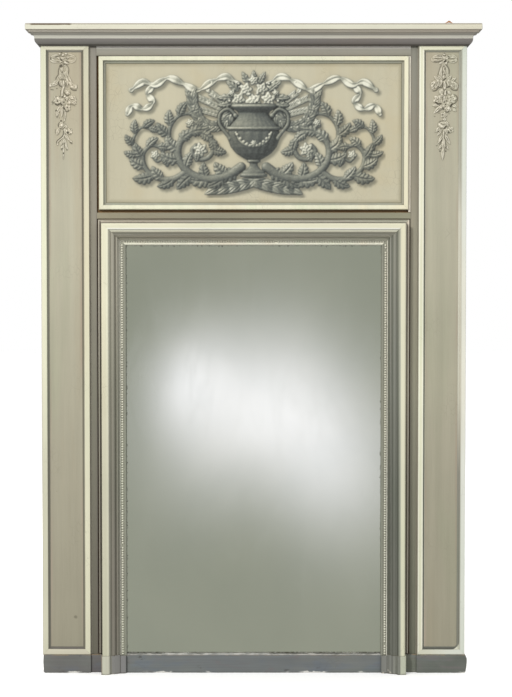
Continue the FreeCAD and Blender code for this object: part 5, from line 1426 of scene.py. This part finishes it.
def pearl_strip(name, where, mat, seed):
    """The bar with its two fillets, and separate pearls along the channel."""
    rng = np.random.RandomState(seed)
    K = 0.933
    rings = []
    if where == "top":
        stations = np.linspace(-1, 1, 61)
        for t in stations:
            ring = []
            jig = rng.normal(0, 0.06)
            for w, h in PEARL_SECTION:
                half = 470.0 - w
                ring.append(world(half * t, h + jig * (h > 40), 1527.0 - w * K + rng.normal(0, 0.03)))
            rings.append(ring)
    else:
        sg = 1 if where == "right" else -1
        stations = np.linspace(0, 1, 91)
        for t in stations:
            ring = []
            jig = rng.normal(0, 0.06)
            for w, h in PEARL_SECTION:
                z1 = 1527.0 - w * K
                ring.append(world(sg * (470.0 - w + rng.normal(0, 0.03)), h + jig * (h > 40), 62.0 + (z1 - 62.0) * t))
            rings.append(ring)
    v, f = sweep(rings)
    flip = (where == "right")
    if flip:
        f = [q[::-1] for q in f]
    verts, faces, smooth = [list(q) for q in v], list(f), [False] * len(f)
    if where == "top":
        xs = np.arange(-52, 52.5) * 8.72
        spots = [(x, 1527.0 - 9.0 * K) for x in xs]
    else:
        zs = np.arange(67.8, 1511.0, 8.72)
        spots = [(sg * (470.0 - 8.4), z) for z in zs]
    for i, (x, z) in enumerate(spots):
        if rng.rand() < 0.012:
            continue          # a lost pearl
        r = 4.12 * (1 + rng.normal(0, 0.02))
        up = 4.3 * (1 + rng.normal(0, 0.05))
        if where != "top" and z < 150 and rng.rand() < 0.35:
            up *= 0.75        # flattened ones near the floor
        dv, df = dome((x + rng.normal(0, 0.12), 49.3, z + rng.normal(0, 0.12)), r, up)
        o = len(verts)
        verts += [list(world(*q)) for q in dv]
        faces += [tuple(o + k for k in q) for q in df]
        smooth += [True] * len(df)
    ob = build(name, verts, faces, [mat], smooth)
    fix_normals(ob)
    return ob


def fix_normals(ob):
    """Faces turned outwards, for closed shells."""
    import bmesh
    bm = bmesh.new()
    bm.from_mesh(ob.data)
    bmesh.ops.recalc_face_normals(bm, faces=bm.faces)
    bm.to_mesh(ob.data)
    bm.free()


# ======================================================================
# the object
# ======================================================================
M_PINE_V = pine("pine_upright", "z")
M_PINE_H = pine("pine_level", "x", 0.94)
M_BEAD = {k: mat_pilaster_bead(k) for k in BEAD_STOPS}
M_PANEL = mat_panel()
M_CARVE = mat_carving()
M_GREY_V = {k: mat_grey("paint_grey_upright_" + k, "z", k) for k in ("left", "right")}
M_GREY_H = mat_grey("paint_grey_level", "x")
M_BASE_H = mat_base("paint_base_level", "x", lin((116, 120, 120)))
M_BASE_L = mat_base("paint_plinth_left", "x", lin((112, 111, 109)))
M_BASE_R = mat_base("paint_plinth_right", "x", lin((100, 103, 97)))
M_BASE_S = mat_base("paint_stile_plinth_left", "x", lin((104, 99, 102)))
M_BASE_R2 = mat_base("paint_stile_plinth_right", "x", lin((116, 118, 106)))
M_MOULD = {k: mat_mould(k) for k in MOULD_STOPS}
M_FOOT = {k: mat_foot(k) for k in ("left", "right")}
M_PEARL = mat_pearl("paint_pearls", lin((146, 147, 133)))
M_PEARL_TOP = mat_pearl("paint_pearls_top", lin((196, 195, 178)))
M_SILL = mat_sill()
M_CORNICE = mat_cornice()
M_LID = mat_top_board()
M_IRON = mat_iron("old_iron", lin((70, 62, 56)))
M_STEEL = mat_iron("screw_steel", lin((120, 112, 104)), 0.85)
M_MIRROR = mat_mirror()


def mat_pbead():
    g = Graph("paint_panel_frame")
    w = g.m("MINIMUM", g.m("SUBTRACT", 541.0, g.ax), g.m("MINIMUM", g.m("SUBTRACT", g.z, 1631.5), g.m("SUBTRACT", 2165.5, g.z)))
    col = g.zones(w, 0.0, 25.0, [(0, CREAM_LIGHT), (15.0, lin((164, 164, 148))), (22.6, lin((128, 127, 110)))], wob=0.25)
    col = g.scale_colour(col, g.remap(g.x, -515.0, -480.0, 0.91, 1.0))
    return finish_paint(g, col, shade_and_dirt=0.25, wear_amount=0.5)


M_PBEAD = mat_pbead()


def dress(node, mat):
    me = NODES[node].data
    me.materials.clear()
    me.materials.append(mat)


for n in NODES:
    if n.startswith(("carcass_stile", "backboard", "panel_battens")):
        dress(n, M_PINE_V)
    elif n.startswith(("carcass", "back_batten", "glass_keepers", "cornice_glue", "setting")):
        dress(n, M_PINE_H)
    elif n in ("hanging_screws", "batten_screws"):
        dress(n, M_STEEL)
    elif n.startswith("hanging_plate"):
        dress(n, M_IRON)
    elif n.startswith("pilaster_bead"):
        dress(n, M_BEAD[n[len("pilaster_bead_"):]])
    elif n.startswith("pilaster_panel"):
        dress(n, M_PANEL)
    elif n.startswith("painting_bead"):
        dress(n, M_PBEAD)
    elif n.startswith("face_stile"):
        dress(n, M_GREY_V[n.split("_")[-1]])
    elif n.startswith("face_rail"):
        dress(n, M_GREY_H)
    elif n == "plinth_left":
        dress(n, M_BASE_L)
    elif n == "plinth_right":
        dress(n, M_BASE_R)
    elif n.startswith("stile_plinth"):
        dress(n, M_BASE_S if n.endswith("left") else M_BASE_R2)
    elif n.startswith("base_rail"):
        dress(n, M_BASE_H)
    elif n.startswith("mirror_moulding"):
        dress(n, M_MOULD[n.split("_")[-1]])
    elif n.startswith("frame_foot"):
        dress(n, M_FOOT[n.split("_")[-1]])
    elif n.startswith("pearl"):
        dress(n, M_PEARL)
    elif n.startswith("sill"):
        dress(n, M_SILL)
    elif n == "cornice_top_board":
        dress(n, M_LID)
    elif n.startswith("cornice"):
        dress(n, M_CORNICE)
    elif n == "mirror_plate":
        dress(n, M_MIRROR)

# pearl strips
for where, seed in (("left", 3), ("right", 4), ("top", 5)):
    ob = pearl_strip("pearls_" + where, where, M_PEARL_TOP if where == "top" else M_PEARL, seed)
    piece(ob, "pearl_paint", "pearl_strip_" + where)

# carved drops
for side, sign, seed, k in (("right", 1, 21, 1.0), ("left", -1, 22, 0.94)):
    R, H, highlight_and_rub, shade_and_grime = carved_drop(side, seed, k)
    ob = relief_mesh("carved_drop_" + side, R, H, (highlight_and_rub, shade_and_grime), sign * 665.5, 2177.5, [M_CARVE])
    piece(ob, "panel_paint", "floral_drop_" + side)


# painted panel
def mat_painting():
    g = Graph("panel_painting")
    a = g.node("ShaderNodeAttribute", attribute_name="paint", attribute_type="GEOMETRY")
    col = a.outputs["Color"]
    # thin places, yellowed varnish and vertical drying streaks on the ground
    cloud = g.noise(g.P, 4.2, 5.0, 0.55, 0.3)
    streak = g.noise(g.stretch(34, 34, 2.4), 1.0, 4.0, 0.55)
    canvas = g.noise(g.P, 900.0, 2.0, 0.5)
    f = g.m("ADD", 0.93, g.m("MULTIPLY", cloud, 0.12))
    f = g.m("ADD", f, g.m("MULTIPLY", g.m("SUBTRACT", streak, 0.5), 0.10))
    f = g.m("ADD", f, g.m("MULTIPLY", g.m("SUBTRACT", canvas, 0.5), 0.05))
    col = g.scale_colour(col, f)
    col = g.scale_colour(col, g.remap(g.x, -516.0, -330.0, 0.93, 1.0, smooth=False))
    warm = g.remap(g.noise(g.P, 3.0, 4.0, 0.6), 0.48, 0.68)
    col = g.mix(g.m("MULTIPLY", warm, 0.4), col, g.mix(1.0, col, lin((255, 243, 222)), "MULTIPLY"))
    # darker towards the frame: grime and painted shade
    edge = g.m("MINIMUM", g.m("SUBTRACT", 516.0, g.ax), g.m("MINIMUM", g.m("SUBTRACT", g.z, 1656.5), g.m("SUBTRACT", 2140.5, g.z)))
    grime_and_shade = g.remap(edge, 0.0, 16.0, 0.45, 0.0)
    col = g.mix(g.m("MULTIPLY", grime_and_shade, g.remap(cloud, 0.3, 0.6, 0.5, 1.0)), col, lin((132, 124, 98)))
    cr = g.voronoi(g.stretch(1, 1, 0.7), 55.0, "DISTANCE_TO_EDGE")
    crack = g.remap(cr.outputs["Distance"], 0.0, 0.025, 1.0, 0.0)
    crack = g.m("MULTIPLY", crack, g.remap(g.noise(g.P, 5.0, 3.0), 0.5, 0.7))
    col = g.mix(g.m("MULTIPLY", crack, 0.3), col, lin((96, 88, 70)))
    height = g.m("ADD", g.m("MULTIPLY", streak, 0.5), g.m("MULTIPLY", canvas, 0.4))
    height = g.m("SUBTRACT", height, g.m("MULTIPLY", crack, 0.6))
    principled(g, col, g.remap(cloud, 0.3, 0.7, 0.48, 0.62), bump(g, height, 0.3, 0.0005), spec=0.3)
    return g.mat


def painted_panel():
    Rl, colours, cover = painted_colours()
    lo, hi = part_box("painted_panel")
    cz = 1898.5
    fine = 2.05
    us = np.concatenate([[lo.x / MM], np.linspace(-530, -464, 12), np.arange(-460, 460.1, fine),
                         np.linspace(464, 530, 12), [hi.x / MM]])
    vs = np.concatenate([[lo.z / MM - cz], np.linspace(-256, -228, 6), np.arange(-224, 224.1, fine),
                         np.linspace(228, 258, 6), [hi.z / MM - cz]])
    us, vs = np.unique(us), np.unique(vs)
    soft = np.stack([blur(colours[..., k], 0.75) for k in range(3)], -1)
    fu = np.clip((us - Rl.u[0]) / Rl.step, 0, len(Rl.u) - 1.001)
    fv = np.clip((vs - Rl.v[0]) / Rl.step, 0, len(Rl.v) - 1.001)
    i, j = fu.astype(int), fv.astype(int)
    du, dv = (fu - i)[None, :, None], (fv - j)[:, None, None]
    g = lambda a, b: soft[np.ix_(a, b)]
    c = (g(j, i) * (1 - du) * (1 - dv) + g(j, i + 1) * du * (1 - dv) + g(j + 1, i) * (1 - du) * dv + g(j + 1, i + 1) * du * dv)
    out = (us[None, :] < Rl.u[0]) | (us[None, :] > Rl.u[-1]) | (vs[:, None] < Rl.v[0]) | (vs[:, None] > Rl.v[-1])
    c[out] = GROUND
    nu, nv = len(us), len(vs)
    X, Z = np.meshgrid(us, vs + cz)
    yf = (HALF - 34.0) * MM
    front = np.stack([X * MM, np.full(X.shape, yf), Z * MM], -1).reshape(-1, 3)
    idx = np.arange(nu * nv).reshape(nv, nu)
    quads = np.stack([idx[:-1, :-1].ravel(), idx[:-1, 1:].ravel(), idx[1:, 1:].ravel(), idx[1:, :-1].ravel()], 1)
    # the board behind the painted face
    yb = (HALF - 24.0) * MM
    x0, x1, z0, z1 = lo.x, hi.x, lo.z, hi.z
    o = len(front)
    box = np.array([(x0, yf, z0), (x1, yf, z0), (x1, yf, z1), (x0, yf, z1), (x0, yb, z0), (x1, yb, z0), (x1, yb, z1), (x0, yb, z1)])
    sides = np.array([(4, 7, 6, 5), (0, 4, 5, 1), (1, 5, 6, 2), (2, 6, 7, 3), (3, 7, 4, 0)]) + o
    verts = np.vstack([front, box])
    faces = np.vstack([quads, sides])
    fm = np.concatenate([np.zeros(len(quads)), np.ones(5)])
    ob = build("painted_board", verts, faces, [mat_painting(), M_PINE_V], False, fm)
    at = ob.data.color_attributes.new("paint", "FLOAT_COLOR", "POINT")
    rgb = c.reshape(-1, 3) / 255.0
    rgb = np.where(rgb <= 0.04045, rgb / 12.92, ((rgb + 0.055) / 1.055) ** 2.4)
    full = np.ones((len(verts), 4), np.float32)
    full[: len(rgb), :3] = rgb
    at.data.foreach_set("color", full.ravel())
    piece(ob, "painting", "painted_panel")
    return ob


painted_panel()


# a lifted sliver of wood on the front edge of the top board
def sliver():
    t = np.linspace(0, 1, 15)
    rings = []
    for q in t:
        x = 657.0 + 36.0 * q
        rise = 7.6 * math.exp(-((q - 0.52) / 0.20) ** 2) + 1.2 * math.sin(q * math.pi)
        thick = 0.5 + 1.5 * math.sin(q * math.pi)
        z0 = 2271.6 + rise * 0.35
        dep = 91.0 + 1.5 * math.sin(5 * q)
        rings.append([world(x, dep - 1.6, z0 - 0.2), world(x, dep + 1.8, z0), world(x + 0.4, dep + 1.2, min(2280.4, 2271.8 + rise + thick * 0.5)),
                      world(x + 0.4, dep - 0.4, min(2280.6, 2272.0 + rise + thick * 0.6)), world(x, dep - 2.0, z0 + rise * 0.4)])
    v, f = sweep(rings)
    g = Graph("fresh_wood")
    fib = g.noise(g.stretch(30, 600, 600), 1.0, 3.0)
    col = g.mix(fib, lin((206, 156, 120)), lin((150, 104, 72)))
    principled(g, col, 0.8, bump(g, fib, 0.4, 0.0004), spec=0.2)
    ob = build("lifted_sliver", v, f, [g.mat], False)
    fix_normals(ob)
    piece(ob, "raw_pine")


sliver()


def filled_joint():
    """On the right the joint between panel frame and upright is stopped with paint."""
    rng = np.random.RandomState(31)
    rings = []
    for q in np.linspace(0, 1, 64):
        z = 1622.6 + (2166.8 - 1622.6) * q
        a, b, c = rng.normal(0, 0.12, 3)
        rings.append([world(541.2, 34.4, z), world(541.2, 37.6 + a, z), world(544.2, 36.4 + b, z), world(547.0, 35.8 + b, z),
                      world(549.3, 35.9 + c, z), world(549.3, 34.4, z)])
    v, f = sweep(rings)
    g = Graph("joint_paint")
    col = g.mix(g.remap(g.noise(g.stretch(60, 60, 8), 1.0, 4.0), 0.35, 0.65), lin((196, 192, 178)), lin((224, 220, 206)))
    mat = finish_paint(g, col, shade_and_dirt=0.05, raw_back=False)
    ob = build("filled_joint", v, f, [mat], False)
    fix_normals(ob)
    piece(ob, "grey_paint")


filled_joint()

# ======================================================================
# stage: floor, light, camera
# ======================================================================
floor = build("floor", [(-30, -30, 0), (30, -30, 0), (30, 30, 0), (-30, 30, 0)], [(0, 1, 2, 3)], [], False)
g = Graph("floor_white")
b = principled(g, g.mix(g.noise(g.P, 0.6, 2.0), (0.93, 0.93, 0.925, 1), (0.95, 0.95, 0.945, 1)), 0.85, spec=0.1)
b.inputs["Emission Color"].default_value = (1, 1, 1, 1)
b.inputs["Emission Strength"].default_value = 0.22
floor.data.materials.append(g.mat)
floor.visible_glossy = False
floor.visible_diffuse = False

scene = bpy.context.scene
scene.view_settings.view_transform = "Standard"
scene.view_settings.look = "None"

wd = bpy.data.worlds.new("studio")
scene.world = wd
wd.use_nodes = True
nt = wd.node_tree
nt.nodes.clear()


def wn(kind, **kw):
    n = nt.nodes.new(kind)
    for k, v in kw.items():
        setattr(n, k, v)
    return n


def wm(op, a, b=None, clamp=False):
    n = wn("ShaderNodeMath", operation=op, use_clamp=clamp)
    for s, v in zip(n.inputs, (a, b)):
        if isinstance(v, bpy.types.NodeSocket):
            nt.links.new(v, s)
        elif v is not None:
            s.default_value = v
    return n.outputs[0]


def wmix(fac, a, b):
    n = wn("ShaderNodeMix", data_type="RGBA")
    for s, v in ((n.inputs[0], fac), (n.inputs[6], a), (n.inputs[7], b)):
        if isinstance(v, bpy.types.NodeSocket):
            nt.links.new(v, s)
        else:
            s.default_value = v
    return n.outputs[2]


tcw = wn("ShaderNodeTexCoord")
sepw = wn("ShaderNodeSeparateXYZ")
nt.links.new(tcw.outputs["Generated"], sepw.inputs[0])
dx, dy, dz = sepw.outputs
lp = wn("ShaderNodeLightPath")
# soft tent light: brightest overhead and towards the left
tent = wm("ADD", 0.34, wm("MULTIPLY", wm("MAXIMUM", dz, 0.0), 0.80))
tent = wm("SUBTRACT", tent, wm("MULTIPLY", dx, 0.05))
cb = wn("ShaderNodeCombineColor")
nt.links.new(tent, cb.inputs[0])
nt.links.new(tent, cb.inputs[1])
nt.links.new(tent, cb.inputs[2])
# what the mirror sees: a dim grey room with one large soft lamp in front
front = wm("MAXIMUM", wm("MULTIPLY", dy, -1.0), 0.02)
A = wm("MULTIPLY", wm("DIVIDE", dx, front), 10.0)
C = wm("MULTIPLY", wm("ADD", wm("DIVIDE", dz, front), 0.0716), -10.0)
GLOW = [(0.438, -0.1367, 0.0250, 0.3558, 0.4975, 0.644), (0.546, 0.3789, 0.1849, 0.5539, 0.3915, 1.116),
        (0.442, -0.4010, -0.1873, 0.2224, 0.2964, 0.405)]
glow = 0.0
for amp, a0, c0, sa, sc, tt in GLOW:
    ux, uy = wm("SUBTRACT", A, a0), wm("SUBTRACT", C, c0)
    p = wm("DIVIDE", wm("ADD", wm("MULTIPLY", ux, math.cos(tt)), wm("MULTIPLY", uy, math.sin(tt))), sa)
    q = wm("DIVIDE", wm("SUBTRACT", wm("MULTIPLY", uy, math.cos(tt)), wm("MULTIPLY", ux, math.sin(tt))), sc)
    e = wm("ADD", wm("MULTIPLY", p, p), wm("MULTIPLY", q, q))
    glow = wm("ADD", glow, wm("MULTIPLY", wm("POWER", 2.71828, wm("MULTIPLY", e, -1.0)), amp))
ahead = wm("MULTIPLY", wm("LESS_THAN", dy, 0.0), 1.0)
glow = wm("MULTIPLY", glow, ahead)
room = wmix(glow, (0.392, 0.396, 0.352, 1), (1.73, 1.66, 1.90, 1))
col = wmix(lp.outputs["Is Glossy Ray"], cb.outputs[0], room)
col = wmix(lp.outputs["Is Camera Ray"], col, (1, 1, 1, 1))
bg = wn("ShaderNodeBackground")
nt.links.new(col, bg.inputs[0])
bg.inputs[1].default_value = 1.0
wo = wn("ShaderNodeOutputWorld")
nt.links.new(bg.outputs[0], wo.inputs[0])


def area(name, loc, aim, size, power, colour=(1, 1, 1)):
    li = bpy.data.lights.new(name, "AREA")
    li.shape = "DISK"
    li.size = size
    li.energy = power
    li.color = colour
    ob = bpy.data.objects.new(name, li)
    scene.collection.objects.link(ob)
    ob.location = loc
    d = Vector(aim) - Vector(loc)
    ob.rotation_euler = d.to_track_quat("-Z", "Y").to_euler()
    ob.visible_glossy = False
    ob.visible_camera = False
    return ob


area("key", (-2.9, -5.6, 3.9), (0, 0, 1.3), 1.1, 265.0, (1.0, 0.99, 0.97))
area("fill", (3.4, -4.2, 2.2), (0, 0, 1.2), 2.4, 28.0, (0.98, 0.99, 1.0))
area("back", (1.5, 4.8, 4.5), (0, 0, 1.2), 2.0, 200.0)

cam = bpy.data.cameras.new("camera")
cam.sensor_fit = "HORIZONTAL"
cam.sensor_width = 36.0
cam.lens = 1698.0 / 512.0 * 36.0
cam.clip_end = 200.0
co = bpy.data.objects.new("camera", cam)
scene.collection.objects.link(co)
co.location = (0.008, -5.9525, 1.3548)
co.rotation_euler = (math.radians(90.0 - 2.019), 0.0, 0.0)
scene.camera = co

bpy.context.view_layer.update()
